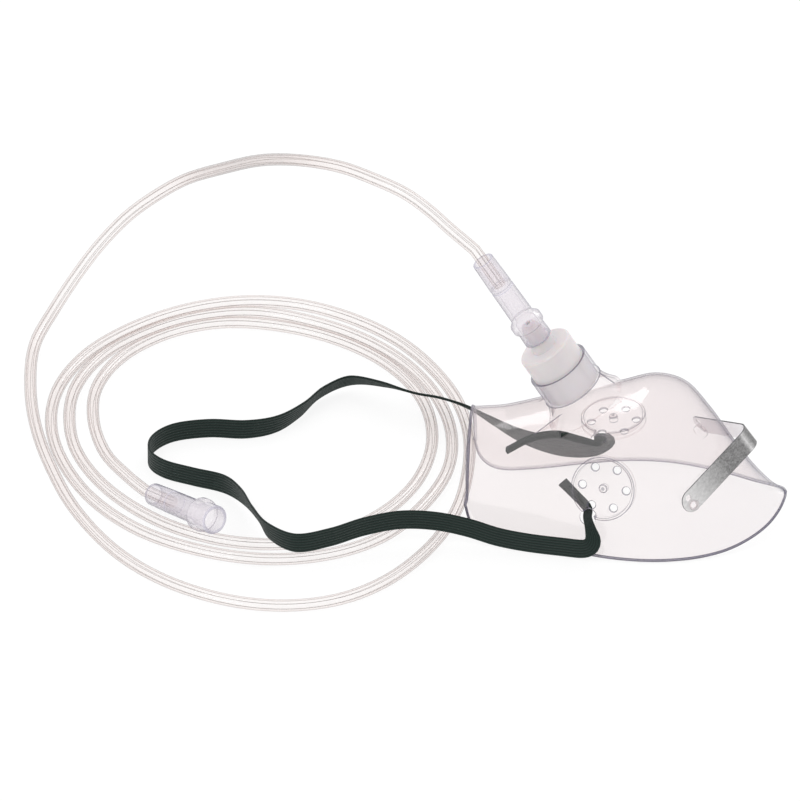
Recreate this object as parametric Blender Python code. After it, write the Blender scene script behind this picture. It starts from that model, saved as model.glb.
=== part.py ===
"""Oxygen face mask: a moulded clear film shell lying on its rim, with its port adapter, nose clip,
two tubing connectors, supply tube and elastic strap. Metres, +Z up, +X towards the nose bridge."""
import math

import bmesh
import bpy
import numpy as np
from mathutils import Matrix, Vector

MM = 0.001

# Clearance between pieces that touch
FIT_GAP = 0.3 * MM

# Film shell
MASK_LENGTH = 127.0 * MM
MASK_WIDTH = 72.0 * MM
MASK_HEIGHT = 66.0 * MM
FLOOR_LIFT = 0.7 * MM
FILM_THICKNESS = 1.3 * MM
LIP_FLARE = 2.6 * MM
LIP_HEIGHT = 2.4 * MM
SECTIONS_PER_ROW = 3
POINTS_PER_SIDE = 15

# Port moulded on the crest, leaning to the chin
PORT_ALONG = 0.334
PORT_LEAN = math.radians(32.0)
PORT_BORE = 23.0 * MM
PORT_WALL = 1.1 * MM
PORT_LENGTH = 14.0 * MM
PORT_SKIRT = 7.0 * MM
WEB_THICKNESS = 1.2 * MM
WEB_CHIN_REACH = 16.0 * MM
WEB_CHIN_HEIGHT = 1.0 * MM
WEB_NOSE_REACH = 2.8 * MM
WEB_NOSE_HEIGHT = 10.5 * MM
WEB_SINK = 0.8 * MM

# Exhalation discs, one on each cheek
DISC_ALONG = 0.436
DISC_HEIGHT = 28.0 * MM
DISC_DIAMETER = 26.0 * MM
DISC_RING_WIDTH = 1.1 * MM
DISC_RING_RISE = 1.0 * MM
DISC_DEPTH = 2.6 * MM
DISC_HOLES = 6
DISC_HOLE_DIAMETER = 3.2 * MM
DISC_HOLE_CIRCLE = 18.0 * MM
DISC_PIN_DIAMETER = 3.6 * MM
DISC_PIN_RISE = 2.6 * MM

# Hole in each cheek that the strap is threaded through
STRAP_HOLE_ALONG = 0.389
STRAP_HOLE_HEIGHT = 15.5 * MM
STRAP_HOLE_DIAMETER = 6.6 * MM

# Nose clip and the two moulded studs that hold it
CLIP_WIDTH = 9.0 * MM
CLIP_THICKNESS = 0.6 * MM
CLIP_SHIFT = 1.9 * MM
CLIP_EYE_DIAMETER = 2.6 * MM
CLIP_EYE_PITCH = 3.8 * MM
CLIP_LEAN = math.radians(34.0)
CLIP_BEND_RADIUS = 5.0 * MM
CLIP_STAND_OFF = 5.2 * MM
CLIP_TAIL = 4.0 * MM
STUD_ALONG = 0.710
STUD_HEIGHT = 22.5 * MM
STUD_DIAMETER = 2.6 * MM
STUD_SHOULDER = 6.0 * MM
STUD_HEAD = 4.4 * MM
STUD_HEAD_HEIGHT = 1.4 * MM
CLIP_SEAT = 1.9 * MM

# Port adapter, a translucent plug with a hollow stem
ADAPTER_DEPTH = 12.0 * MM
ADAPTER_STAND = 10.4 * MM
ADAPTER_WALL = 1.6 * MM
ADAPTER_CHAMFER = 0.7 * MM
STEM_DIAMETER = 6.0 * MM
STEM_TIP_DIAMETER = 5.2 * MM
STEM_LENGTH = 17.0 * MM
STEM_BORE = 2.2 * MM
STEM_SHOWN = 4.4 * MM

# Tubing connectors
CONNECTOR_LENGTH = 42.0 * MM
CONNECTOR_SLEEVE_DIAMETER = 11.8 * MM
CONNECTOR_SLEEVE_LENGTH = 8.0 * MM
CONNECTOR_COLLAR_DIAMETER = 13.6 * MM
CONNECTOR_COLLAR_LENGTH = 3.6 * MM
CONNECTOR_NECK_DIAMETER = 9.9 * MM
CONNECTOR_END_DIAMETER = 9.0 * MM
CONNECTOR_BEVEL = 1.0 * MM
CONNECTOR_MOUTH_WALL = 1.4 * MM
CONNECTOR_WAY = 3.2 * MM
CONNECTOR_SEAT_DEPTH = 18.0 * MM
TUBE_SOCKET_DEPTH = 13.5 * MM

# Supply tube and strap
TUBE_DIAMETER = 5.2 * MM
TUBE_POINTS = 78
TAIL_POINTS = 9
COIL_FACETS = 60
STRAP_WIDTH = 8.8 * MM
STRAP_THICKNESS = 1.0 * MM
STRAP_PINCH_WIDTH = 3.6 * MM
STRAP_PINCH_THICKNESS = 1.8 * MM
STRAP_POINTS = 108

ROUND_SIDES = 28
SMALL_ROUND_SIDES = 16

# Rows from the chin to the nose: rim along, rim half width, rim lift, crest along, crest height, fullness
# The first five are shares of the length, half width, height, length and height
SHELL_ROWS = (
    (0.000, 0.650, 0.210, 0.000, 0.665, 2.05),
    (0.017, 0.665, 0.095, 0.012, 0.668, 2.00),
    (0.055, 0.675, 0.022, 0.050, 0.682, 1.95),
    (0.115, 0.690, 0.000, 0.115, 0.708, 1.85),
    (0.220, 0.765, 0.000, 0.220, 0.778, 1.70),
    (0.345, 0.890, 0.000, 0.345, 0.858, 1.60),
    (0.470, 0.985, 0.000, 0.470, 0.930, 1.55),
    (0.595, 1.000, 0.000, 0.580, 1.000, 1.52),
    (0.710, 0.925, 0.000, 0.675, 0.960, 1.48),
    (0.810, 0.785, 0.010, 0.750, 0.790, 1.42),
    (0.885, 0.610, 0.035, 0.820, 0.575, 1.38),
    (0.945, 0.420, 0.080, 0.880, 0.390, 1.40),
    (0.982, 0.225, 0.135, 0.925, 0.262, 1.50),
    (1.000, 0.000, 0.180, 0.955, 0.205, 1.60),
)

# Supply tube, in millimetres: over from the connector's mouth and once round on the floor
TUBE_FREE = (
    (-72, 0.3, 131.5), (-80.2, 2.7, 137.9), (-90.2, 7, 142.7), (-102.8, 13.4, 144.4), (-117.8, 24.3, 142.4),
    (-135.5, 42.4, 132.6), (-154.4, 74.8, 110.2), (-174, 112, 80.5), (-189.8, 135, 59.7), (-202.5, 142.9, 46.2),
    (-214.7, 144.7, 34.1), (-225.2, 141.2, 22.8), (-233.8, 133, 13.4), (-242.2, 117, 5.6), (-248, 94, 3.0),
    (-247, 66, 2.7), (-242, 37, 2.7),
    (-233, 8, 2.7), (-220, -22, 2.7), (-201, -50, 2.7), (-179, -69, 2.7), (-154, -80, 2.7),
    (-130, -82, 2.7), (-108, -75, 2.7), (-90, -59, 2.7), (-76, -35, 2.7), (-68, -8, 2.7),
    (-66, 20, 2.7),
)
# Its closer turns, which lie inside each other
TUBE_COIL = (
    (-68, 46, 2.7), (-75, 70, 2.7), (-87, 92, 2.7), (-103, 111, 2.7),
    (-123, 125, 2.7), (-145, 133, 2.7), (-168, 133, 2.7), (-190, 125, 2.7), (-210, 110, 2.7),
    (-226, 90, 2.7), (-235, 66, 2.7), (-236, 40, 2.7), (-229, 13, 2.7), (-214, -14, 2.7),
    (-192, -35, 2.7), (-165, -47, 2.7), (-138, -50, 2.7), (-113, -43, 2.7), (-94, -28, 2.7),
    (-81, -5, 2.7), (-74, 20, 2.7), (-75, 46, 2.7), (-83, 71, 2.7), (-97, 93, 2.7),
    (-116, 110, 2.7), (-138, 121, 2.7), (-162, 126, 2.7), (-184, 121, 2.7), (-203, 109, 2.7),
    (-219, 91, 2.7), (-228, 68, 2.7), (-229, 44, 2.7), (-223, 18, 2.7), (-208, -7, 2.7),
    (-186, -27, 2.7), (-161, -38, 2.7), (-136, -39, 2.7), (-114, -30, 2.7), (-97, -13, 2.7),
    (-86, 9, 2.7), (-82, 34, 2.7), (-85, 58, 2.7), (-94, 79, 2.7), (-109, 97, 2.7),
    (-129, 110, 2.7), (-152, 117, 2.7), (-175, 117, 2.7), (-196, 107, 2.7), (-212, 89, 2.7),
    (-220, 66, 2.7), (-219, 42, 2.7),
)
# And from the coil to the free connector
TUBE_TAIL = ((-212, 19, 2.9), (-201, 1.5, 3.8))
OUTLET_BACK = Vector((-189.5, -11.5, 4.9)) * MM
OUTLET_HEADING = math.radians(-48.0)
OUTLET_RISE = math.radians(13.5)
TUBE_LEAD = 6.0 * MM
TUBE_STEPS = 6
COIL_GAP = 0.9 * MM

# Strap: centre in millimetres, heading and lift of its outer face in degrees, share of pinch
STRAP_ROUTE = (
    (-25.2, -15.6, 23.4, 270, 80, 0.85), (-20.4, -18.6, 20.2, 270, 85, 0.92), (-14.7, -23.0, 16.6, 270, 80, 0.97),
    (-14.1, -28.4, 15.5, 270, 70, 1.0), (-12.6, -33.2, 13.6, 270, 45, 0.85), (-11.4, -35.8, 9.4, 270, 20, 0.4),
    (-14.5, -36.2, 5.8, 270, 5, 0.1), (-24, -34.6, 5.0, 270, 0, 0.0), (-38, -32.8, 5.0, 270, 0, 0.0),
    (-50, -30.9, 5.8, 268, 0, 0.0), (-62, -29, 8.2, 268, 0, 0.0),
    (-75, -29, 10.6, 270, 0, 0.0), (-89, -30, 11.0, 280, 0, 0.0), (-103, -36, 11.0, 298, 0, 0.0),
    (-115.5, -44.5, 11.0, 302, 0, 0.0), (-129, -49.5, 10.8, 264, 0, 0.0), (-140.5, -41.5, 10.4, 223, 0, 0.0),
    (-147, -28, 9.2, 207, 0, 0.0), (-153.5, -12.5, 6.4, 211, 0, 0.0), (-162, -2, 5.0, 236, 0, 0.0),
    (-175, 2.5, 4.8, 253, 0, 0.0), (-187, 7, 4.8, 240, 0, 0.0), (-193.5, 14, 4.8, 203, 0, 0.0),
    (-193.5, 24, 4.8, 160, 0, 0.0), (-186, 33, 4.8, 126, 0, 0.0), (-172, 37.5, 4.8, 102, 0, 0.0),
    (-157, 38, 4.8, 101, 0, 0.0), (-145, 43, 4.8, 126, 8, 0.0), (-136, 54, 4.8, 146, 18, 0.0),
    (-129, 67, 5.0, 143, 26, 0.0), (-118, 73.5, 7.0, 95, 34, 0.0), (-104, 68, 9.6, 65, 46, 0.0),
    (-91, 61, 10.8, 62, 54, 0.0), (-80, 58, 11.0, 65, 54, 0.0), (-69, 53, 10.6, 63, 46, 0.0),
    (-59, 47.2, 8.8, 64, 34, 0.0), (-46, 40.2, 6.6, 74, 18, 0.0), (-31, 36.2, 5.2, 86, 0, 0.0),
    (-18, 35.6, 5.3, 90, 5, 0.1), (-11.4, 35.6, 9.0, 90, 20, 0.4), (-12.6, 33.2, 13.6, 90, 45, 0.85),
    (-14.1, 28.4, 15.5, 90, 70, 1.0), (-14.7, 23.0, 16.6, 90, 80, 0.97), (-21.5, 19.6, 20.4, 90, 85, 0.92),
    (-30, 17.4, 23.8, 90, 80, 0.85), (-40, 15.6, 22.6, 90, 80, 0.85), (-50, 14.0, 17.0, 90, 80, 0.85),
)


def clear_scene():
    for obj in list(bpy.data.objects):
        bpy.data.objects.remove(obj, do_unlink=True)


def material(name, color, roughness, metallic=0.0, alpha=1.0, transmission=0.0):
    found = bpy.data.materials.new(name)
    found.use_nodes = True
    shader = found.node_tree.nodes["Principled BSDF"]
    shader.inputs["Base Color"].default_value = (*color, 1.0)
    shader.inputs["Roughness"].default_value = roughness
    shader.inputs["Metallic"].default_value = metallic
    shader.inputs["Alpha"].default_value = alpha
    shader.inputs["Transmission Weight"].default_value = transmission
    found.diffuse_color = (*color, alpha)
    return found


def add_object(name, data, finish=None):
    obj = bpy.data.objects.new(name, data)
    bpy.context.scene.collection.objects.link(obj)
    if finish is not None:
        data.materials.append(finish)
    return obj


def mesh_from(name, bm):
    data = bpy.data.meshes.new(name)
    bm.normal_update()
    bm.to_mesh(data)
    bm.free()
    data.shade_smooth()
    data.set_sharp_from_angle(angle=math.radians(35))
    return data


def helper(name, bm):
    """A solid that only shapes another one."""
    obj = add_object(name, mesh_from(name, bm))
    obj.hide_render = True
    obj.display_type = "WIRE"
    return obj


def boolean(target, other, operation):
    modifier = target.modifiers.new(other.name, "BOOLEAN")
    modifier.operation = operation
    modifier.object = other
    modifier.solver = "MANIFOLD"
    return modifier


def frame_along(origin, axis, side=Vector((0.0, 1.0, 0.0))):
    """Matrix that puts local +Z on the axis and local +Y as near the side vector as it can."""
    z = Vector(axis).normalized()
    x = Vector(side).cross(z).normalized()
    y = z.cross(x)
    rotation = Matrix((x, y, z)).transposed()
    return Matrix.Translation(origin) @ rotation.to_4x4()


def smooth_rows(rows, per_row):
    """Rows read from a smooth curve through the given rows, with each given row kept."""
    rows = np.asarray(rows, float)
    before = 2 * rows[0] - rows[1]
    after = 2 * rows[-1] - rows[-2]
    padded = np.vstack([before, rows, after])
    out = []
    for index in range(len(rows) - 1):
        p0, p1, p2, p3 = padded[index : index + 4]
        for step in range(per_row):
            t = step / per_row
            out.append(
                0.5 * (2 * p1 + (p2 - p0) * t + (2 * p0 - 5 * p1 + 4 * p2 - p3) * t**2
                       + (3 * p1 - p0 - 3 * p2 + p3) * t**3)
            )
    out.append(rows[-1])
    return np.array(out)


def evenly_spaced(points, count):
    steps = np.linalg.norm(np.diff(points[:, :3], axis=0), axis=1)
    run = np.concatenate([[0.0], np.cumsum(steps)])
    where = np.linspace(0.0, run[-1], count)
    return np.stack([np.interp(where, run, column) for column in points.T], axis=1)


def lathe(profile, sides):
    """Closed solid turned about Z from (radius, height) points that form a closed outline."""
    bm = bmesh.new()
    rings = []
    for radius, height in profile:
        if radius <= 0.0:
            rings.append([bm.verts.new((0.0, 0.0, height))])
            continue
        ring = []
        for k in range(sides):
            angle = 2 * math.pi * k / sides
            ring.append(bm.verts.new((radius * math.cos(angle), radius * math.sin(angle), height)))
        rings.append(ring)
    for lower, upper in zip(rings, rings[1:] + rings[:1]):
        if len(lower) == 1 and len(upper) == 1:
            continue
        for k in range(sides):
            m = (k + 1) % sides
            if len(lower) == 1:
                bm.faces.new((lower[0], upper[m], upper[k]))
            elif len(upper) == 1:
                bm.faces.new((lower[k], lower[m], upper[0]))
            else:
                bm.faces.new((lower[k], lower[m], upper[m], upper[k]))
    bmesh.ops.recalc_face_normals(bm, faces=bm.faces)
    return bm


def cylinder(radius, low, high, sides):
    return lathe([(0.0, low), (radius, low), (radius, high), (0.0, high)], sides)


def put(bm, matrix):
    bmesh.ops.transform(bm, matrix=matrix, verts=bm.verts)
    return bm


def joined(parts):
    """Several separate solids in one mesh."""
    whole = bmesh.new()
    for bm in parts:
        data = bpy.data.meshes.new("joined")
        bm.to_mesh(data)
        bm.free()
        whole.from_mesh(data)
        bpy.data.meshes.remove(data)
    return whole


def shell_rows():
    """Sections of the shell in metres, dense enough to read smooth."""
    share = smooth_rows(SHELL_ROWS, SECTIONS_PER_ROW)
    size = np.array([MASK_LENGTH, MASK_WIDTH / 2, MASK_HEIGHT, MASK_LENGTH, MASK_HEIGHT, 1.0])
    rows = share * size
    rows[:, 0] -= MASK_LENGTH / 2
    rows[:, 3] -= MASK_LENGTH / 2
    rows[:, 1:3] = np.maximum(rows[:, 1:3], 0.0)
    rows[:, 2] += FLOOR_LIFT
    rows[:, 4] += FLOOR_LIFT
    return rows


def section_point(row, turn, side):
    """Point of one section: turn 0 is the rim and a quarter turn is the crest."""
    rim_x, half_width, rim_z, crest_x, crest_z, fullness = row
    across = max(math.cos(turn), 0.0) ** (2 / fullness)
    up = math.sin(turn) ** (2 / fullness)
    rise = (crest_z - rim_z) * up
    flare_share = min(1.0, half_width / (MASK_WIDTH / 4))
    flare = LIP_FLARE * flare_share * math.exp(-((rise / LIP_HEIGHT) ** 2))
    foot = max(half_width - LIP_FLARE * flare_share, 0.0)
    x = rim_x + (crest_x - rim_x) * up
    return Vector((x, side * (foot * across + flare), rim_z + rise))


def turns():
    """Closer together at the rim, where the lip curves out."""
    even = [k / (POINTS_PER_SIDE - 1) for k in range(POINTS_PER_SIDE)]
    return [math.pi / 2 * share**1.35 for share in even]


def cheek_surface(along, height, side):
    """Point and outward normal of the shell's outer face at a share of the length and a height."""

    def at_height(row, z):
        low, high = 0.0, math.pi / 2
        for _ in range(30):
            middle = (low + high) / 2
            if section_point(row, middle, side).z < z:
                low = middle
            else:
                high = middle
        return section_point(row, low, side)

    def at(share, z):
        x = (share - 0.5) * MASK_LENGTH
        points = [at_height(row, z) for row in shell_rows()]
        for a, b in zip(points, points[1:]):
            if a.x <= x <= b.x:
                return a.lerp(b, (x - a.x) / (b.x - a.x))
        return points[-1]

    step = 0.02
    rise = 2.0 * MM
    run = at(along + step, height) - at(along - step, height)
    climb = at(along, height + rise) - at(along, height - rise)
    normal = run.cross(climb).normalized()
    if normal.y * side < 0:
        normal = -normal
    return at(along, height), normal


def film_height(x, y):
    """Height of the shell's outer face over a place on the floor."""
    over = []
    for row in shell_rows():
        low, high = 0.0, math.pi / 2
        if section_point(row, low, 1).y < y:
            continue
        for _ in range(30):
            middle = (low + high) / 2
            if section_point(row, middle, 1).y > y:
                low = middle
            else:
                high = middle
        over.append(section_point(row, low, 1))
    return float(np.interp(x, [point.x for point in over], [point.z for point in over]))


def crest_point(along):
    rows = shell_rows()
    x = (along - 0.5) * MASK_LENGTH
    return Vector((x, 0.0, float(np.interp(x, rows[:, 3], rows[:, 4]))))


def port_frame():
    """Local +Z runs up the port, with its origin on the crest."""
    axis = Vector((-math.sin(PORT_LEAN), 0.0, math.cos(PORT_LEAN)))
    return frame_along(crest_point(PORT_ALONG), axis)


def disc_frame(side):
    point, normal = cheek_surface(DISC_ALONG, DISC_HEIGHT, side)
    return frame_along(point, normal, Vector((0.0, 0.0, 1.0)))


def film_wall():
    """The drawn film: half sections from rim to crest, mirrored, closed at the nose tip."""
    rows = shell_rows()
    bm = bmesh.new()
    grid = []
    for row in rows:
        near = [section_point(row, turn, -1) for turn in turns()]
        far = [section_point(row, turn, 1) for turn in turns()[-2::-1]]
        grid.append([bm.verts.new(point) for point in near + far])
    for first, second in zip(grid, grid[1:]):
        for k in range(len(first) - 1):
            bm.faces.new((first[k], second[k], second[k + 1], first[k + 1]))
    bmesh.ops.remove_doubles(bm, verts=bm.verts, dist=0.00002)
    bmesh.ops.dissolve_degenerate(bm, edges=bm.edges, dist=0.000005)
    bmesh.ops.recalc_face_normals(bm, faces=bm.faces)
    if sum(face.normal.z for face in bm.faces) < 0:
        bmesh.ops.reverse_faces(bm, faces=bm.faces)
    wall = add_object("mask_shell", mesh_from("mask_shell", bm), material(
        "clear_film", (0.93, 0.93, 0.95), 0.12, alpha=0.45, transmission=0.6))
    solid = wall.modifiers.new("film_thickness", "SOLIDIFY")
    solid.thickness = FILM_THICKNESS
    solid.offset = -1.0
    solid.use_even_offset = False
    solid.use_rim = True
    return wall


def disc_profile():
    """Recessed flat panel with a raised ring round it and a pin at its middle."""
    radius = DISC_DIAMETER / 2
    floor = -DISC_DEPTH
    return [
        (0.0, floor),
        (radius, floor),
        (radius, DISC_RING_RISE),
        (radius - DISC_RING_WIDTH, DISC_RING_RISE),
        (radius - DISC_RING_WIDTH, floor + FILM_THICKNESS),
        (DISC_PIN_DIAMETER / 2, floor + FILM_THICKNESS),
        (DISC_PIN_DIAMETER / 2, floor + FILM_THICKNESS + DISC_PIN_RISE),
        (0.0, floor + FILM_THICKNESS + DISC_PIN_RISE),
    ]


def disc_hole_cutters(side):
    """The ring of breathing holes."""
    cutters = []
    for k in range(DISC_HOLES):
        angle = 2 * math.pi * k / DISC_HOLES
        place = Matrix.Translation((
            DISC_HOLE_CIRCLE / 2 * math.cos(angle), DISC_HOLE_CIRCLE / 2 * math.sin(angle), 0.0))
        hole = cylinder(DISC_HOLE_DIAMETER / 2, -2 * DISC_DEPTH, DISC_DEPTH, SMALL_ROUND_SIDES // 2 + 2)
        cutters.append(put(hole, disc_frame(side) @ place))
    return cutters


def port_profile():
    outer = PORT_BORE / 2 + PORT_WALL
    return [(0.0, -PORT_SKIRT), (outer, -PORT_SKIRT), (outer, PORT_LENGTH), (0.0, PORT_LENGTH)]


def web(corners, offset):
    """Triangular web of the port, flat in the local XZ plane."""
    bm = bmesh.new()
    half = WEB_THICKNESS / 2
    near = [bm.verts.new((x, offset - half, z)) for x, z in corners]
    far = [bm.verts.new((x, offset + half, z)) for x, z in corners]
    bm.faces.new(near)
    bm.faces.new(far[::-1])
    for k in range(len(corners)):
        m = (k + 1) % len(corners)
        bm.faces.new((near[m], near[k], far[k], far[m]))
    bmesh.ops.recalc_face_normals(bm, faces=bm.faces)
    return bm


def port_webs():
    """Two low webs run from the port's flanks to the chin, and one from its front to the nose."""
    outer = PORT_BORE / 2 + PORT_WALL
    foot = crest_point(PORT_ALONG)
    flank = outer - WEB_THICKNESS
    along = [foot.x - WEB_CHIN_REACH * share for share in (0.0, 0.35, 0.7, 1.0)]
    chin = [(x, film_height(x, flank) - WEB_SINK) for x in along]
    chin.append((along[-1], chin[-1][1] + 0.6 * WEB_SINK))
    chin.append((foot.x, foot.z + WEB_CHIN_HEIGHT))
    nose_end = crest_point(PORT_ALONG + (outer + WEB_NOSE_REACH) / MASK_LENGTH)
    nose = [
        (foot.x + 0.6 * outer, foot.z - WEB_SINK), (foot.x + 0.6 * outer, foot.z + WEB_NOSE_HEIGHT),
        (nose_end.x, nose_end.z - 0.4 * WEB_SINK), (nose_end.x - MM, nose_end.z - 1.5 * WEB_SINK),
    ]
    return joined([web(chin, -flank), web(chin, flank), web(nose, 0.0)])


def stud_frame(side):
    """Local +Z leaves the cheek square to the clip's leg, with its origin on the film."""
    point, _ = cheek_surface(STUD_ALONG, STUD_HEIGHT, side)
    return frame_along(point, clip_leg_normal(side), clip_width_axis())


def clip_width_axis():
    return Vector((math.sin(CLIP_LEAN), 0.0, -math.cos(CLIP_LEAN)))


def clip_rise_axis():
    return Vector((math.cos(CLIP_LEAN), 0.0, math.sin(CLIP_LEAN)))


def clip_leg_angle():
    """Slope of a leg against the cross axis, from a stud to the bend over the nose ridge."""
    point, _ = cheek_surface(STUD_ALONG, STUD_HEIGHT, 1)
    rise = clip_peak() - point.dot(clip_rise_axis())
    return math.atan2(rise, point.y)


def clip_peak():
    """Place of the bend along the rise axis, measured from the origin."""
    rows = shell_rows()
    ridge = max(
        Vector((row[3], 0.0, row[4])).dot(clip_rise_axis()) for row in rows)
    return ridge + CLIP_STAND_OFF


def clip_leg_normal(side):
    angle = clip_leg_angle()
    across = Vector((0.0, side, 0.0))
    return (across * math.sin(angle) + clip_rise_axis() * math.cos(angle)).normalized()


def clip_path():
    """Underside of the clip as (cross, rise) points from the near end to the far end."""
    point, _ = cheek_surface(STUD_ALONG, STUD_HEIGHT, 1)
    angle = clip_leg_angle()
    stand = FIT_GAP + CLIP_SEAT
    seat = Vector((point.y, point.dot(clip_rise_axis())))
    along_leg = Vector((math.cos(angle), -math.sin(angle)))
    out = Vector((math.sin(angle), math.cos(angle)))
    seat = seat + out * stand
    end = seat + along_leg * CLIP_TAIL
    apex_rise = seat.y + seat.x * math.tan(angle)
    centre_rise = apex_rise - CLIP_BEND_RADIUS / math.cos(angle)
    bend = []
    for k in range(-6, 7):
        turn = angle * k / 6
        bend.append((CLIP_BEND_RADIUS * math.sin(turn), centre_rise + CLIP_BEND_RADIUS * math.cos(turn)))
    return [(-end.x, end.y)] + bend + [(end.x, end.y)]


def build_clip():
    """Soft aluminium band bent over the nose ridge, with round ends, a hole at each stud and an eye beside it."""
    path = clip_path()
    point, _ = cheek_surface(STUD_ALONG, STUD_HEIGHT, 1)
    middle = point.dot(clip_width_axis()) - CLIP_SHIFT
    radius = CLIP_WIDTH / 2
    points = np.array(path)
    steps = np.linalg.norm(np.diff(points, axis=0), axis=1)
    run = np.concatenate([[0.0], np.cumsum(steps)])
    rounded = [radius * (1 - math.cos(math.radians(turn))) for turn in (15, 30, 45, 60, 75, 90)]
    stations = rounded + list(run[1:-1]) + [run[-1] - s for s in rounded[::-1]]
    bm = bmesh.new()
    rings = []
    for s in stations:
        end = min(s, run[-1] - s)
        half = math.sqrt(max(radius**2 - max(radius - end, 0.0) ** 2, 0.0))
        centre = np.array([np.interp(s, run, points[:, 0]), np.interp(s, run, points[:, 1])])
        before = np.array([np.interp(s - 0.5 * MM, run, points[:, k]) for k in (0, 1)])
        after = np.array([np.interp(s + 0.5 * MM, run, points[:, k]) for k in (0, 1)])
        tangent = (after - before) / np.linalg.norm(after - before)
        normal = np.array([-tangent[1], tangent[0]])
        top = centre + normal * CLIP_THICKNESS
        ring = []
        for (across, rise), width in ((centre, -half), (centre, half), (top, half), (top, -half)):
            place = Vector((0.0, across, 0.0)) + clip_rise_axis() * rise
            ring.append(bm.verts.new(place + clip_width_axis() * (middle + width)))
        rings.append(ring)
    close_sweep(bm, rings)
    clip = add_object("nose_clip", mesh_from("nose_clip", bm), material(
        "clip_aluminium", (0.78, 0.79, 0.80), 0.32, metallic=1.0))
    holes = []
    for side in (-1, 1):
        hole = cylinder(STUD_DIAMETER / 2 + FIT_GAP, -CLIP_WIDTH, CLIP_WIDTH, SMALL_ROUND_SIDES)
        holes.append(put(hole, stud_frame(side)))
        eye = cylinder(CLIP_EYE_DIAMETER / 2, -CLIP_WIDTH, CLIP_WIDTH, SMALL_ROUND_SIDES)
        holes.append(put(eye, stud_frame(side) @ Matrix.Translation((0.0, -CLIP_EYE_PITCH, 0.0))))
    boolean(clip, helper("clip_holes", joined(holes)), "DIFFERENCE")
    return clip


def close_sweep(bm, rings):
    """Sides between matching rings, and a cap at both ends."""
    for first, second in zip(rings, rings[1:]):
        for k in range(len(first)):
            m = (k + 1) % len(first)
            bm.faces.new((first[k], first[m], second[m], second[k]))
    bm.faces.new(rings[0][::-1])
    bm.faces.new(rings[-1])
    bmesh.ops.recalc_face_normals(bm, faces=bm.faces)


def stud_profile():
    """Shoulder under the clip, pin through it and head over it."""
    shoulder = CLIP_SEAT
    under_head = shoulder + CLIP_THICKNESS + 2 * FIT_GAP
    return [
        (0.0, -3.0 * MM), (STUD_SHOULDER / 2, -3.0 * MM), (STUD_SHOULDER / 2, shoulder),
        (STUD_DIAMETER / 2, shoulder), (STUD_DIAMETER / 2, under_head),
        (STUD_HEAD / 2, under_head), (STUD_HEAD / 2, under_head + 0.5 * STUD_HEAD_HEIGHT),
        (STUD_HEAD / 4, under_head + STUD_HEAD_HEIGHT), (0.0, under_head + STUD_HEAD_HEIGHT),
    ]


def build_shell():
    wall = film_wall()
    openings = [put(cylinder(PORT_BORE / 2 + PORT_WALL / 2, -4 * PORT_SKIRT, 3 * PORT_SKIRT, ROUND_SIDES),
                    port_frame())]
    for side in (-1, 1):
        disc_opening = cylinder(DISC_DIAMETER / 2 - DISC_RING_WIDTH / 2, -2 * DISC_DEPTH, 2 * DISC_DEPTH,
                                ROUND_SIDES)
        openings.append(put(disc_opening, disc_frame(side)))
    boolean(wall, helper("wall_openings", joined(openings)), "DIFFERENCE")
    boolean(wall, helper("port_webs", port_webs()), "UNION")
    boolean(wall, helper("port_tube", put(lathe(port_profile(), ROUND_SIDES), port_frame())), "UNION")
    discs = [put(lathe(disc_profile(), ROUND_SIDES), disc_frame(side)) for side in (-1, 1)]
    boolean(wall, helper("breathing_discs", joined(discs)), "UNION")
    studs = [put(lathe(stud_profile(), SMALL_ROUND_SIDES), stud_frame(side)) for side in (-1, 1)]
    boolean(wall, helper("clip_studs", joined(studs)), "UNION")
    cuts = [put(cylinder(PORT_BORE / 2, -4 * PORT_SKIRT, 2 * PORT_LENGTH, ROUND_SIDES), port_frame())]
    for side in (-1, 1):
        cuts.extend(disc_hole_cutters(side))
        point, normal = cheek_surface(STRAP_HOLE_ALONG, STRAP_HOLE_HEIGHT, side)
        hole = cylinder(STRAP_HOLE_DIAMETER / 2, -4 * FILM_THICKNESS, 4 * FILM_THICKNESS, SMALL_ROUND_SIDES)
        cuts.append(put(hole, frame_along(point, normal)))
    boolean(wall, helper("bores", joined(cuts)), "DIFFERENCE")
    return wall


def build_adapter():
    outer = PORT_BORE / 2 - FIT_GAP
    inner = outer - ADAPTER_WALL
    low = PORT_LENGTH - ADAPTER_DEPTH
    top = PORT_LENGTH + ADAPTER_STAND
    tip = top + STEM_LENGTH
    profile = [
        (inner, low), (outer, low), (outer, top - ADAPTER_CHAMFER), (outer - ADAPTER_CHAMFER, top),
        (STEM_DIAMETER / 2, top), (STEM_TIP_DIAMETER / 2, tip), (STEM_BORE / 2, tip),
        (STEM_BORE / 2, top - ADAPTER_WALL), (inner, top - ADAPTER_WALL),
    ]
    bm = put(lathe(profile, ROUND_SIDES), port_frame())
    return add_object("port_adapter", mesh_from("port_adapter", bm), material(
        "frosted_plug", (0.86, 0.86, 0.87), 0.35))


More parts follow.
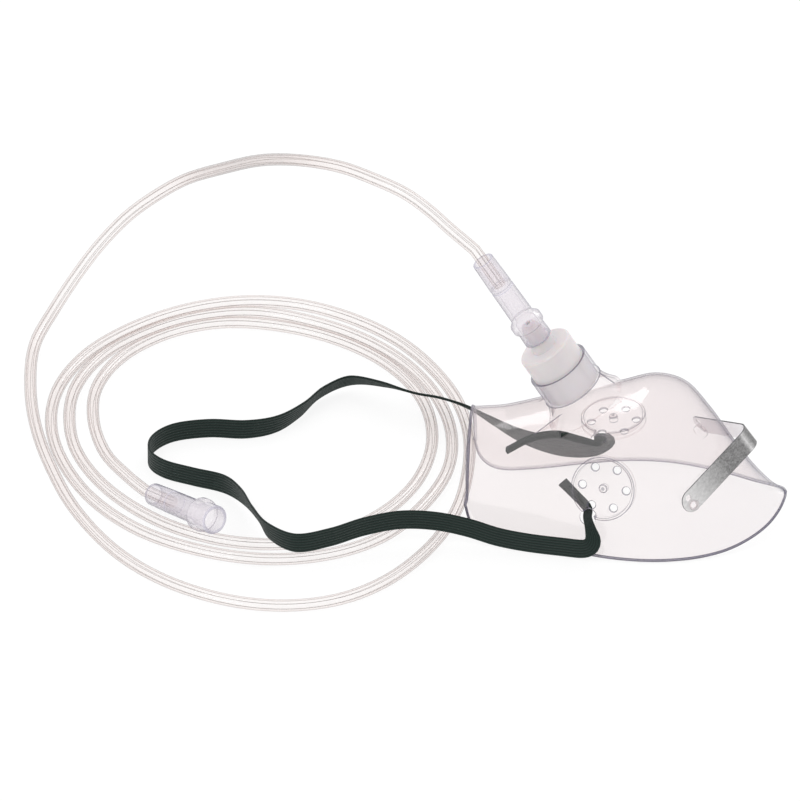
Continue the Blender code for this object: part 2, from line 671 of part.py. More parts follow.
def connector_profile():
    """Mouth at zero, tube socket at the far end."""
    sleeve = CONNECTOR_SLEEVE_DIAMETER / 2
    collar = CONNECTOR_COLLAR_DIAMETER / 2
    neck = CONNECTOR_NECK_DIAMETER / 2
    end = CONNECTOR_END_DIAMETER / 2
    collar_low = CONNECTOR_SLEEVE_LENGTH - CONNECTOR_BEVEL
    collar_high = CONNECTOR_SLEEVE_LENGTH + CONNECTOR_COLLAR_LENGTH - CONNECTOR_BEVEL
    seat = STEM_DIAMETER / 2 + FIT_GAP
    socket = TUBE_DIAMETER / 2 + FIT_GAP
    socket_low = CONNECTOR_LENGTH - TUBE_SOCKET_DEPTH
    return [
        (sleeve - CONNECTOR_MOUTH_WALL, 0.0), (sleeve, 0.0), (sleeve, collar_low),
        (collar, collar_low + CONNECTOR_BEVEL), (collar, collar_high),
        (neck, collar_high + CONNECTOR_BEVEL + 1.0 * MM), (end, CONNECTOR_LENGTH),
        (socket, CONNECTOR_LENGTH), (socket, socket_low),
        (CONNECTOR_WAY / 2, socket_low), (CONNECTOR_WAY / 2, CONNECTOR_SEAT_DEPTH),
        (seat, CONNECTOR_SEAT_DEPTH), (seat, CONNECTOR_SLEEVE_LENGTH),
        (sleeve - CONNECTOR_MOUTH_WALL, CONNECTOR_SLEEVE_LENGTH - CONNECTOR_BEVEL),
    ]


def inlet_frame():
    """The connector that is pushed over the adapter's stem."""
    lift = PORT_LENGTH + ADAPTER_STAND + STEM_SHOWN
    return port_frame() @ Matrix.Translation((0.0, 0.0, lift))


def outlet_axis():
    """From the outlet connector's mouth to its tube socket."""
    level = math.cos(OUTLET_RISE)
    return -Vector((level * math.cos(OUTLET_HEADING), level * math.sin(OUTLET_HEADING), math.sin(OUTLET_RISE)))


def outlet_frame():
    return frame_along(OUTLET_BACK - outlet_axis() * CONNECTOR_LENGTH, outlet_axis())


def build_connector(name, frame, finish):
    bm = put(lathe(connector_profile(), ROUND_SIDES), frame)
    return add_object(name, mesh_from(name, bm), finish)


def tube_line():
    """Centre line of the tube from one connector's mouth to the other's, as free, coiled and tail runs."""
    start = [inlet_frame() @ Vector((0.0, 0.0, CONNECTOR_LENGTH + TUBE_LEAD))]
    end = [outlet_frame() @ Vector((0.0, 0.0, CONNECTOR_LENGTH + TUBE_LEAD))]
    runs = [start + in_metres(TUBE_FREE), in_metres(TUBE_COIL), in_metres(TUBE_TAIL) + end]
    dense = smooth_rows([tuple(point) for run in runs for point in run], TUBE_STEPS)
    first = len(runs[0]) * TUBE_STEPS
    last = first + (len(runs[1]) - 1) * TUBE_STEPS
    return dense[: first + 1], dense[first : last + 1], dense[last:]


def in_metres(route):
    return [Vector(point) * MM for point in route]


def shortened(run, at_start, at_end):
    """The same run with a short length taken off each end."""
    steps = np.linalg.norm(np.diff(run, axis=0), axis=1)
    where = np.concatenate([[0.0], np.cumsum(steps)])
    first = [np.interp(at_start, where, column) for column in run.T]
    last = [np.interp(where[-1] - at_end, where, column) for column in run.T]
    inside = (where > at_start) & (where < where[-1] - at_end)
    return np.vstack([first, run[inside], last])


def tube_curve(name, points, finish):
    curve = bpy.data.curves.new(name, "CURVE")
    curve.dimensions = "3D"
    curve.bevel_depth = TUBE_DIAMETER / 2
    curve.bevel_resolution = 2
    curve.use_fill_caps = True
    spline = curve.splines.new("POLY")
    spline.points.add(len(points) - 1)
    for target, point in zip(spline.points, points):
        target.co = (*point, 1.0)
    return add_object(name, curve, finish)


def prism(outline, low, high):
    bm = bmesh.new()
    bottom = [bm.verts.new((x, y, low)) for x, y in outline]
    top = [bm.verts.new((x, y, high)) for x, y in outline]
    bm.faces.new(bottom[::-1])
    bm.faces.new(top)
    for k in range(len(outline)):
        m = (k + 1) % len(outline)
        bm.faces.new((bottom[k], bottom[m], top[m], top[k]))
    bmesh.ops.recalc_face_normals(bm, faces=bm.faces)
    return bm


def build_coil(run, finish):
    """Flat ring that holds the coiled turns: its outside follows the first turn and its inside the last."""
    centre = run[:, :2].mean(axis=0)
    arm = run[:, :2] - centre
    reach = np.linalg.norm(arm, axis=1)
    angle = np.unwrap(np.arctan2(arm[:, 1], arm[:, 0]))
    radius = TUBE_DIAMETER / 2

    def one_turn(begin, offset):
        turn = np.linspace(begin, begin + 2 * math.pi, COIL_FACETS)
        far = np.interp(turn, angle, reach) + offset
        return np.stack([centre[0] + far * np.cos(turn), centre[1] + far * np.sin(turn)], axis=1)

    level = run[0][2]
    ring = prism(one_turn(angle[0], radius), level - radius, level + radius)
    inside = prism(one_turn(angle[-1] - 2 * math.pi, -radius), level - 2 * radius, level + 2 * radius)
    coil = add_object("tube_coil", mesh_from("tube_coil", ring), finish)
    boolean(coil, helper("coil_middle", inside), "DIFFERENCE")


def build_tube():
    finish = material("clear_tube", (0.90, 0.88, 0.87), 0.15, alpha=0.6)
    free, coil, tail = tube_line()
    inserted = TUBE_SOCKET_DEPTH - FIT_GAP
    root = inlet_frame() @ Vector((0.0, 0.0, CONNECTOR_LENGTH - inserted))
    tip = outlet_frame() @ Vector((0.0, 0.0, CONNECTOR_LENGTH - inserted))
    free = evenly_spaced(shortened(free, 0.0, COIL_GAP), TUBE_POINTS - 1)
    tail = evenly_spaced(shortened(tail, COIL_GAP, 0.0), TAIL_POINTS - 1)
    tube_curve("supply_tube", np.vstack([root, free]), finish)
    tube_curve("tube_tail", np.vstack([tail, tip]), finish)
    build_coil(coil, finish)


def build_strap():
    """Flat elastic band, pinched where it is threaded through each cheek."""
    rows = evenly_spaced(smooth_rows(STRAP_ROUTE, 6), STRAP_POINTS)
    centres = [Vector(row[:3]) * MM for row in rows]
    bm = bmesh.new()
    rings = []
    for k, row in enumerate(rows):
        tangent = (centres[min(k + 1, len(rows) - 1)] - centres[max(k - 1, 0)]).normalized()
        heading = math.radians(row[3])
        lift = math.radians(row[4])
        face = Vector((math.cos(heading) * math.cos(lift), math.sin(heading) * math.cos(lift), math.sin(lift)))
        face = (face - tangent * face.dot(tangent)).normalized()
        pinch = min(max(row[5], 0.0), 1.0)
        wide = face.cross(tangent) * (STRAP_WIDTH + (STRAP_PINCH_WIDTH - STRAP_WIDTH) * pinch) / 2
        thick = face * (STRAP_THICKNESS + (STRAP_PINCH_THICKNESS - STRAP_THICKNESS) * pinch) / 2
        corners = (wide + thick, wide - thick, -wide - thick, -wide + thick)
        rings.append([bm.verts.new(centres[k] + corner) for corner in corners])
    close_sweep(bm, rings)
    return add_object("elastic_strap", mesh_from("elastic_strap", bm), material(
        "green_elastic", (0.02, 0.07, 0.055), 0.85))


clear_scene()
clear_pvc = material("clear_pvc", (0.88, 0.88, 0.92), 0.12, alpha=0.6, transmission=0.5)
build_shell()
build_adapter()
build_connector("inlet_connector", inlet_frame(), clear_pvc)
build_connector("outlet_connector", outlet_frame(), clear_pvc)
build_clip()
build_tube()
build_strap()
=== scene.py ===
"""Oxygen face mask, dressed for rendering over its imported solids: a clear film shell with its port, discs and
webs, a milky port adapter, an aluminium nose clip, clear connectors, a supply tube and an elastic strap."""
import math

import bmesh
import bpy
import numpy as np
from bpy.props import FloatProperty, FloatVectorProperty, IntProperty, PointerProperty
from mathutils import Matrix, Vector


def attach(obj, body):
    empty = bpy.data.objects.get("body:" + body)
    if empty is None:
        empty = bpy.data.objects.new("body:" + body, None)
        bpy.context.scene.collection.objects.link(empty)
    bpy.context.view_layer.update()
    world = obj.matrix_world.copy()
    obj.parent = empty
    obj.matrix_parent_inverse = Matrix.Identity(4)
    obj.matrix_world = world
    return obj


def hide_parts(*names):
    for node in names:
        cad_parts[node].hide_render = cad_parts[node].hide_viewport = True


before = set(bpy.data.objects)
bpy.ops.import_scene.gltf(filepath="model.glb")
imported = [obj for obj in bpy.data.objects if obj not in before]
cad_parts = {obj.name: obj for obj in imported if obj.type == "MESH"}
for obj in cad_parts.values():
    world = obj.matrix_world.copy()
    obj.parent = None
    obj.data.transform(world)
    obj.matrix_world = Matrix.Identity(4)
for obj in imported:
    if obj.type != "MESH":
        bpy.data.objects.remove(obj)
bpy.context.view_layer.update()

bl_info = {
    "name": "Oxygen Face Mask",
    "version": (1, 0, 0),
    "blender": (4, 5, 0),
    "location": "3D View > Sidebar > Face Mask",
    "description": "Builds the visible pieces and finishes of a clear oxygen face mask",
    "category": "Object",
}

MM = 0.001
FIT_GAP = 0.3 * MM
SOFT_CORNER = 0.25 * MM

# Film shell
MASK_LENGTH = 127.0 * MM
MASK_WIDTH = 72.0 * MM
MASK_HEIGHT = 66.0 * MM
FLOOR_LIFT = 0.7 * MM
LIP_FLARE = 2.6 * MM
LIP_HEIGHT = 2.4 * MM
SECTIONS_PER_ROW = 8
POINTS_PER_SIDE = 46
POINTS_CROWDING = 1.35
CHIN_ARC_POINTS = 26

# Port, webs, discs and strap holes of the shell
PORT_ALONG = 0.334
PORT_LEAN = math.radians(32.0)
PORT_BORE = 23.0 * MM
PORT_WALL = 1.1 * MM
PORT_LENGTH = 14.0 * MM
PORT_SKIRT = 7.0 * MM
PORT_FOOT = 2.2 * MM
PORT_FLARE = 4.4 * MM
PORT_FLARE_POWER = 1.6
PORT_CUT_EXTRA = 2.0 * MM
PORT_BEAD = ((0.0, 0.05), (0.25, 0.2), (0.25, 0.5), (0.0, 0.7))  # out from the wall and over the foot, in mm
WEB_THICKNESS = 1.0 * MM
WEB_CHIN_REACH = 16.0 * MM
WEB_CHIN_HEIGHT = 1.0 * MM
WEB_NOSE_REACH = 2.8 * MM
WEB_NOSE_HEIGHT = 10.5 * MM
DISC_ALONG = 0.436
DISC_HEIGHT = 28.0 * MM
DISC_DIAMETER = 26.0 * MM
DISC_RING_WIDTH = 1.1 * MM
DISC_RING_RISE = 1.0 * MM
DISC_DEPTH = 2.6 * MM
DISC_HOLES = 6
DISC_HOLE_DIAMETER = 3.2 * MM
DISC_HOLE_CIRCLE = 18.0 * MM
DISC_PIN_DIAMETER = 3.6 * MM
DISC_PIN_RISE = 2.6 * MM
STRAP_HOLE_ALONG = 0.389
STRAP_HOLE_HEIGHT = 15.5 * MM
STRAP_HOLE_DIAMETER = 6.6 * MM
STRAP_HOLE_REACH = 4.0 * MM

# Nose clip and its studs
CLIP_SHIFT = 1.9 * MM
CLIP_EYE_DIAMETER = 2.6 * MM
CLIP_EYE_PITCH = 3.8 * MM
CLIP_LEAN = math.radians(34.0)
CLIP_WIDTH_AXIS = Vector((math.sin(CLIP_LEAN), 0.0, -math.cos(CLIP_LEAN)))
CLIP_RISE_AXIS = Vector((math.cos(CLIP_LEAN), 0.0, math.sin(CLIP_LEAN)))
CLIP_BEND_RADIUS = 5.0 * MM
CLIP_STAND_OFF = 5.2 * MM
CLIP_LIGHT_END = 4.0 * MM
# Reach of the painted highlight where the clip's bend starts
GLINT_REACH = 1.3 * MM
CLIP_DARKENING_SHARE = 0.55
CLIP_TAIL = 4.0 * MM
CLIP_SEAT = 1.9 * MM
CLIP_THICKNESS = 0.6 * MM
CLIP_SOFT_EDGE = 0.12 * MM
STUD_ALONG = 0.710
STUD_HEIGHT = 22.5 * MM
STUD_DIAMETER = 2.6 * MM
STUD_SHOULDER = 6.0 * MM
STUD_HEAD = 4.4 * MM
STUD_HEAD_HEIGHT = 1.4 * MM

# Port adapter
ADAPTER_DEPTH = 12.0 * MM
ADAPTER_STAND = 10.4 * MM
ADAPTER_WALL = 1.6 * MM
ADAPTER_CHAMFER = 0.7 * MM
STEM_BORE = 2.2 * MM
# Radius of the stem and height above the adapter's ring, in millimetres
STEM_STEPS = ((5.4, 0.0), (4.7, 3.7), (4.1, 4.2), (4.0, 9.6), (3.1, 12.0), (2.0, 12.6))
STEM_SHOWN = 4.4 * MM

# Tubing connectors
CONNECTOR_LENGTH = 42.0 * MM
CONNECTOR_SLEEVE_DIAMETER = 11.8 * MM
CONNECTOR_SLEEVE_LENGTH = 8.0 * MM
CONNECTOR_COLLAR_DIAMETER = 13.6 * MM
CONNECTOR_COLLAR_LENGTH = 3.6 * MM
CONNECTOR_NECK_DIAMETER = 9.9 * MM
CONNECTOR_END_DIAMETER = 9.0 * MM
CONNECTOR_BEVEL = 1.0 * MM
CONNECTOR_MOUTH_WALL = 1.4 * MM
CONNECTOR_WALL = 1.0 * MM
CONNECTOR_THROAT = 0.6 * MM
CONNECTOR_DRAFT = 0.2 * MM
CONNECTOR_NECK_START = 2.0 * MM
TUBE_SOCKET_DEPTH = 13.5 * MM
TUBE_LEAD = 6.0 * MM
TUBE_STEPS = 6
OUTLET_BACK = Vector((-189.5, -11.5, 4.9)) * MM
OUTLET_HEADING = math.radians(-48.0)
OUTLET_RISE = math.radians(13.5)

# Strap
STRAP_PINCH_WIDTH = 3.6 * MM
STRAP_PINCH_THICKNESS = 1.8 * MM
STRAP_STATIONS = 420
STRAP_ROUNDED_SHARE = 0.07
WEFT_PITCH = 0.62 * MM
KNIT_PITCH = 1.24 * MM

# Points round each turned or swept shape
ROUND_SIDES = 72
SMALL_ROUND_SIDES = 32
BEAD_SIDES = 10
BORE_LINE_SIDES = 6

# Stage: each lamp's place, share of the power and size, and the camera of the photograph
LAMPS = {"soft_lamp": ((-0.9, -0.7, 1.5), 1.0, 0.6), "back_lamp": ((0.5, 1.1, 1.1), 0.5, 0.4)}
LAMP_AIM = Vector((-0.09, 0.03, 0.04))
FLOOR_REACH = 6.0
VIEW_ELEVATION = math.radians(34.0)
VIEW_AZIMUTH = math.radians(5.0)
VIEW_RIGHT = -0.096
VIEW_UP = 0.0446
VIEW_ORIGIN = Vector((0.00475, 0.0, 0.0))
SENSOR_WIDTH = 36.0

# Noise of the finishes, in waves for each metre: uneven colour, uneven film, flow lines of the port, brushing
CLOUD_SCALE = 38.0
WAVE_SCALE = 45.0
FLOW_SCALE = 210.0
BRUSH_SCALE = (900.0, 45.0, 900.0)
FLOW_COLOUR = (0.42, 0.40, 0.48)

# Where two finishes fade: the rim bead towards the far side, where it is painted lighter, by shares for each metre,
# and the film to the nose
SIDE_FADE = 40.0
NOSE_FADE_START = -0.02
NOSE_FADE_LENGTH = 0.08

# Rows from the chin to the nose: rim along, rim half width, rim lift, crest along, crest height, fullness
# The first five are shares of the length, half width, height, length and height
SHELL_ROWS = (
    (0.000, 0.650, 0.210, 0.000, 0.665, 2.05),
    (0.017, 0.665, 0.095, 0.012, 0.668, 2.00),
    (0.055, 0.675, 0.022, 0.050, 0.682, 1.95),
    (0.115, 0.690, 0.000, 0.115, 0.708, 1.85),
    (0.220, 0.765, 0.000, 0.220, 0.778, 1.70),
    (0.345, 0.890, 0.000, 0.345, 0.858, 1.60),
    (0.470, 0.985, 0.000, 0.470, 0.930, 1.55),
    (0.595, 1.000, 0.000, 0.580, 1.000, 1.52),
    (0.710, 0.925, 0.000, 0.675, 0.960, 1.48),
    (0.810, 0.785, 0.010, 0.750, 0.790, 1.42),
    (0.885, 0.610, 0.035, 0.820, 0.575, 1.38),
    (0.945, 0.420, 0.080, 0.880, 0.390, 1.40),
    (0.982, 0.225, 0.135, 0.925, 0.262, 1.50),
    (1.000, 0.000, 0.180, 0.955, 0.205, 1.60),
)

# Supply tube in millimetres: over from the connector on the adapter, down, round on the floor at the height of
# rest, and into the free connector
TUBE_REST = 2.7
TUBE_TURNS = (
    (-247, 66), (-242, 37), (-233, 8), (-220, -22), (-201, -50), (-179, -69), (-154, -80), (-130, -82),
    (-108, -75), (-90, -59), (-76, -35), (-68, -8), (-66, 20), (-68, 46), (-75, 70), (-87, 92), (-103, 111),
    (-123, 125), (-145, 133), (-168, 133), (-190, 125), (-210, 110), (-226, 90), (-235, 66), (-236, 40),
    (-229, 13), (-214, -14), (-192, -35), (-165, -47), (-138, -50), (-113, -43), (-94, -28), (-81, -5),
    (-74, 20), (-75, 46), (-83, 71), (-97, 93), (-116, 110), (-138, 121), (-162, 126), (-184, 121), (-203, 109),
    (-219, 91), (-228, 68), (-229, 44), (-223, 18), (-208, -7), (-186, -27), (-161, -38), (-136, -39),
    (-114, -30), (-97, -13), (-86, 9), (-82, 34), (-85, 58), (-94, 79), (-109, 97), (-129, 110), (-152, 117),
    (-175, 117), (-196, 107), (-212, 89), (-220, 66), (-219, 42),
)
TUBE_ROUTE = (
    (-72, 0.3, 131.5), (-80.2, 2.7, 137.9), (-90.2, 7, 142.7), (-102.8, 13.4, 144.4), (-117.8, 24.3, 142.4),
    (-135.5, 42.4, 132.6), (-154.4, 74.8, 110.2), (-174, 112, 80.5), (-189.8, 135, 59.7), (-202.5, 142.9, 46.2),
    (-214.7, 144.7, 34.1), (-225.2, 141.2, 22.8), (-233.8, 133, 13.4), (-242.2, 117, 5.6), (-248, 94, 3.0),
    *((x, y, TUBE_REST) for x, y in TUBE_TURNS), (-212, 19, 2.9), (-201, 1.5, 3.8),
)

# Strap: centre in millimetres, heading and lift of its outer face in degrees, share of pinch
STRAP_ROUTE = (
    (-25.2, -15.6, 23.4, 270, 80, 0.85), (-20.4, -18.6, 20.2, 270, 85, 0.92), (-14.7, -23.0, 16.6, 270, 80, 0.97),
    (-14.1, -28.4, 15.5, 270, 70, 1.0), (-12.6, -33.2, 13.6, 270, 45, 0.85), (-11.4, -35.8, 9.4, 270, 20, 0.4),
    (-14.5, -36.2, 5.8, 270, 5, 0.1), (-24, -34.6, 5.0, 270, 0, 0.0), (-38, -32.8, 5.0, 270, 0, 0.0),
    (-50, -30.9, 5.8, 268, 0, 0.0), (-62, -29, 8.2, 268, 0, 0.0),
    (-75, -29, 10.6, 270, 0, 0.0), (-89, -30, 11.0, 280, 0, 0.0), (-103, -36, 11.0, 298, 0, 0.0),
    (-115.5, -44.5, 11.0, 302, 0, 0.0), (-129, -49.5, 10.8, 264, 0, 0.0), (-140.5, -41.5, 10.4, 223, -10, 0.0),
    (-147, -28, 9.2, 207, -22, 0.0), (-153.5, -12.5, 6.4, 211, -12, 0.0), (-162, -2, 5.0, 236, 0, 0.0),
    (-175, 2.5, 4.8, 253, 0, 0.0), (-187, 7, 4.8, 240, 0, 0.0), (-193.5, 14, 4.8, 203, 0, 0.0),
    (-193.5, 24, 4.8, 160, 0, 0.0), (-186, 33, 4.8, 126, 0, 0.0), (-172, 37.5, 4.8, 102, 0, 0.0),
    (-157, 38, 4.8, 101, 0, 0.0), (-145, 43, 4.8, 126, 8, 0.0), (-136, 54, 4.8, 146, 18, 0.0),
    (-129, 67, 5.0, 143, 26, 0.0), (-118, 73.5, 7.0, 95, 34, 0.0), (-104, 68, 9.6, 65, 46, 0.0),
    (-91, 61, 10.8, 62, 54, 0.0), (-80, 58, 11.0, 65, 54, 0.0), (-69, 53, 10.6, 63, 46, 0.0),
    (-59, 47.2, 8.8, 64, 34, 0.0), (-46, 40.2, 6.6, 74, 18, 0.0), (-31, 36.2, 5.2, 86, 0, 0.0),
    (-18, 35.6, 5.3, 90, 5, 0.1), (-11.4, 35.6, 9.0, 90, 20, 0.4), (-12.6, 33.2, 13.6, 90, 45, 0.85),
    (-14.1, 28.4, 15.5, 90, 70, 1.0), (-14.7, 23.0, 16.6, 90, 80, 0.97), (-21.5, 19.6, 20.4, 90, 85, 0.92),
    (-30, 17.4, 23.8, 90, 80, 0.85), (-40, 15.6, 22.6, 90, 80, 0.85), (-50, 14.0, 17.0, 90, 80, 0.85),
)


# Settings a user would change

def length_setting(name, text, default, precision=4, **limits):
    return FloatProperty(name=name, description=text, default=default, unit="LENGTH", subtype="DISTANCE",
                         precision=precision, **limits)


def colour_setting(name, text, default):
    return FloatVectorProperty(name=name, description=text, default=default, subtype="COLOR", size=3, min=0.0,
                               max=1.0)


class FilmSettings(bpy.types.PropertyGroup):
    thickness: length_setting("Film Thickness", "Wall of the moulded shell", 0.0007, min=0.0003, max=0.0013)
    tint: colour_setting("Film Tint", "Colour that a single wall of film adds", (0.74, 0.70, 0.74))
    edge_tint: colour_setting("Edge Tint", "Colour of the film where its cut edge shows", (0.075, 0.07, 0.115))
    bead: length_setting("Rim Bead", "Radius of the thicker bead round the rim", 0.00055, 5, min=0.0002, max=0.0008)
    veil: FloatProperty(
        name="Film Veil", description="How much one face of the film hides when seen square on", default=0.028,
        subtype="FACTOR", min=0.0, max=1.0)


class TubeSettings(bpy.types.PropertyGroup):
    diameter: length_setting(
        "Tube Diameter", "Outside diameter of the supply tube", 0.00495, min=0.003, max=0.0052)
    lumen_reach: length_setting(
        "Lumen Reach", "From the middle of the tube to the points of its star-shaped bore", 0.00175, 5)
    lumen_line: length_setting(
        "Bore Line", "Radius of the dark line along each edge of the bore", 0.00015, 5, min=0.00005, max=0.0004)
    lumen_points: IntProperty(
        name="Lumen Points", description="Points of the star-shaped bore", default=5, min=3, max=12)
    tint: colour_setting("Tube Tint", "Colour of the wall of the tube", (0.80, 0.62, 0.57))


class StrapSettings(bpy.types.PropertyGroup):
    width: length_setting("Strap Width", "Width of the elastic band where it isn't pinched", 0.0088)
    thickness: length_setting("Strap Thickness", "Thickness of the elastic band", 0.001)
    ribs: IntProperty(name="Ribs", description="Rubber ribs that run along the band", default=7, min=1, max=12)
    colour: colour_setting("Yarn Colour", "Colour of the yarn on the ribs", (0.0075, 0.0170, 0.0138))


class FittingSettings(bpy.types.PropertyGroup):
    clip_width: length_setting("Clip Width", "Width of the aluminium nose clip", 0.009)
    clip_thickness: length_setting("Clip Thickness", "Thickness of the aluminium nose clip", CLIP_THICKNESS)
    clip_colour: colour_setting("Clip Colour", "Colour of the brushed aluminium", (0.45, 0.445, 0.445))
    adapter_colour: colour_setting("Adapter Colour", "Colour of the milky adapter", (0.70, 0.662, 0.672))
    connector_tint: colour_setting("Connector Tint", "Colour of the clear connectors' wall", (0.62, 0.59, 0.64))


class StageSettings(bpy.types.PropertyGroup):
    floor_colour: colour_setting("Floor Colour", "Colour of the plain floor", (0.16, 0.16, 0.16))
    floor_glow: FloatProperty(
        name="Floor Glow", description="Light from beneath the white sheet, as on a light table", default=0.84,
        min=0.0)
    sky: FloatProperty(name="Sky Strength", description="Strength of the even white light", default=1.1, min=0.0)
    lamp: FloatProperty(
        name="Lamp Power", description="Power of the soft lamp behind the camera's left", default=4.0, min=0.0,
        subtype="POWER", unit="POWER")
    view_width: length_setting("View Width", "Width of the picture at the object", 0.32)
    camera_distance: length_setting("Camera Distance", "From the middle of the picture to the camera", 9.0)


# Shader building

class Wire:
    """A value of a shader tree. Python's operators add Math nodes to it."""

    def __init__(self, finish, output):
        self.finish = finish
        self.output = output

    def calculate(self, operation, *values):
        return self.finish.node("ShaderNodeMath", dict(enumerate(values)), operation=operation)

    def __add__(self, other):
        return self.calculate("ADD", self, other)

    def __sub__(self, other):
        return self.calculate("SUBTRACT", self, other)

    def __rsub__(self, other):
        return self.calculate("SUBTRACT", other, self)

    def __mul__(self, other):
        return self.calculate("MULTIPLY", self, other)

    def __truediv__(self, other):
        return self.calculate("DIVIDE", self, other)

    def __pow__(self, other):
        return self.calculate("POWER", self, other)

    __radd__ = __add__
    __rmul__ = __mul__

    def wave(self):
        """Its sine, moved to run from 0 to 1."""
        return self.calculate("SINE", self) * 0.5 + 0.5

    def size(self):
        return self.calculate("ABSOLUTE", self)

    def up_to(self, limit):
        return self.calculate("MINIMUM", self, limit)

    def at_least(self, limit):
        return self.calculate("MAXIMUM", self, limit)

    def share(self):
        """Itself, held between 0 and 1."""
        return self.up_to(1.0).at_least(0.0)


class Finish:
    """A material under construction."""

    def __init__(self, name):
        self.material = bpy.data.materials.new(name)
        self.material.use_nodes = True
        self.tree = self.material.node_tree
        self.tree.nodes.clear()

    def node(self, kind, sockets=None, take=0, **settings):
        """Adds a node with its settings, and the values or wires of its sockets, by name or number."""
        made = self.tree.nodes.new(kind)
        for name, value in settings.items():
            setattr(made, name, value)
        for key, value in (sockets or {}).items():
            if isinstance(value, Wire):
                self.tree.links.new(value.output, made.inputs[key])
            elif made.inputs[key].type == "RGBA" and len(value) == 3:
                made.inputs[key].default_value = (*value, 1.0)
            else:
                made.inputs[key].default_value = value
        return Wire(self, made.outputs[take]) if made.outputs else made

    def blended(self, share, first, second):
        """Colour between two colours."""
        return self.node("ShaderNodeMix", {0: share, 6: first, 7: second}, take=2, data_type="RGBA")

    def where(self):
        """Position on the object, in metres."""
        return self.node("ShaderNodeTexCoord", take="Object")

    def place(self, scale=(1.0, 1.0, 1.0)):
        """The position, stretched by a scale."""
        return self.node("ShaderNodeMapping", {"Vector": self.where(), "Scale": scale})

    def axes(self, vector):
        """The X, Y and Z of a vector."""
        split = self.node("ShaderNodeSeparateXYZ", {"Vector": vector})
        return [Wire(self, output) for output in split.output.node.outputs]

    def noise(self, where, scale, detail=3.0, roughness=0.55):
        return self.node("ShaderNodeTexNoise", {
            "Vector": where, "Scale": scale, "Detail": detail, "Roughness": roughness})

    def brushing(self):
        return self.noise(self.place(BRUSH_SCALE), 1.0, 3.0, 0.6)

    def facing(self):
        """0 where the surface is seen square on, 1 where it is seen edge on."""
        return self.node("ShaderNodeLayerWeight", {"Blend": 0.5}, take="Facing")

    def bump(self, height, distance, strength=1.0):
        return self.node("ShaderNodeBump", {"Height": height, "Distance": distance, "Strength": strength})

    def done(self, surface):
        self.node("ShaderNodeOutputMaterial", {"Surface": surface})
        return self.material

    def principled(self, sockets):
        return self.done(self.node("ShaderNodeBsdfPrincipled", sockets))


def scaled(colour, factor):
    return tuple(min(c * factor, 1.0) for c in colour)


def see_through(name, through, tint, edge, veil, rim, sharpness, gloss, roughness, waviness=0.0, far_side_lightening=0.0,
                nose_tint=None, flow_lines=0.0):
    """Clear plastic: it colours what is behind it, adds a faint tint, turns to its edge colour at grazing angles
    and shines. It can be painted lighter on the far side, take another tint towards the nose, or show flow lines."""
    finish = Finish(name)
    facing = finish.facing()
    cloud = finish.noise(finish.place(), CLOUD_SCALE, 2.0)
    hides = veil + (cloud - 0.5) * veil * 0.5 + facing ** sharpness * rim
    along, across, _ = finish.axes(finish.where()) if far_side_lightening or nose_tint else (None, None, None)
    # Painted light: the far side hides less, so it looks lighter
    if far_side_lightening:
        hides = hides * (1.0 - (across * SIDE_FADE + 0.5).share() * far_side_lightening)
    normal = finish.bump(finish.noise(finish.place(), WAVE_SCALE, 2.0), waviness)
    walls = finish.blended(cloud, scaled(tint, 0.90), scaled(tint, 1.10))
    if nose_tint:
        walls = finish.blended(((along - NOSE_FADE_START) / NOSE_FADE_LENGTH).share(), walls, nose_tint)
    if flow_lines:
        upright = finish.node("ShaderNodeMapping", {"Vector": finish.place(), "Rotation": (0.0, PORT_LEAN, 0.0)})
        drawn = finish.node("ShaderNodeMapping", {"Vector": upright, "Scale": (1.0, 1.0, 0.05)})
        line = ((finish.noise(drawn, FLOW_SCALE, 1.0) - 0.50) * 3.0).share()
        hides = hides + line * flow_lines
        walls = finish.blended(line, walls, FLOW_COLOUR)
    colour = finish.blended((facing ** 2.0 * 1.2).up_to(1.0), walls, edge)
    clear = finish.node("ShaderNodeBsdfTransparent", {"Color": through})
    body = finish.node("ShaderNodeBsdfPrincipled", {
        "Base Color": colour, "Roughness": 0.35, "Normal": normal, "Specular IOR Level": 0.2})
    wall = finish.node("ShaderNodeMixShader", {0: hides.up_to(0.97), 1: clear, 2: body})
    shine = finish.node("ShaderNodeBsdfAnisotropic", {
        "Color": (1.0, 1.0, 1.0), "Roughness": roughness, "Normal": normal})
    mirrored = gloss * 0.42 + facing ** 4.0 * gloss * 1.4
    return finish.done(finish.node("ShaderNodeMixShader", {0: mirrored, 1: wall, 2: shine}))


def film_finish(film):
    return see_through(
        "clear_film", (0.973, 0.952, 0.951), film.tint, edge=(0.12, 0.105, 0.15), veil=film.veil, rim=1.25,
        sharpness=7.0, gloss=0.08, roughness=0.10, waviness=0.0004, nose_tint=(0.16, 0.30, 0.44))


def film_edge_finish(film):
    """The cut edge of the film, which looks darker because light runs along inside the wall."""
    return see_through(
        "film_edge", (0.93, 0.92, 0.94), film.edge_tint, edge=film.edge_tint, veil=0.50, rim=0.40, sharpness=1.5,
        gloss=0.10, roughness=0.12)


def bead_finish(film):
    """The rolled rim, clear down its middle, dark at both sides, and painted lighter on the far side of the mask.
    """
    return see_through(
        "rim_bead", (0.96, 0.95, 0.97), (0.10, 0.09, 0.15), edge=film.edge_tint, veil=0.48, rim=1.0, sharpness=0.9,
        gloss=0.14, roughness=0.10, far_side_lightening=0.86)


def port_finish():
    """The thicker wall of the port, which greys towards both sides and has faint flow lines."""
    return see_through(
        "port_wall", (0.992, 0.988, 0.994), (1.0, 0.95, 0.98), edge=(0.13, 0.115, 0.19), veil=0.13, rim=0.85,
        sharpness=3.4, gloss=0.16, roughness=0.08, flow_lines=0.07)


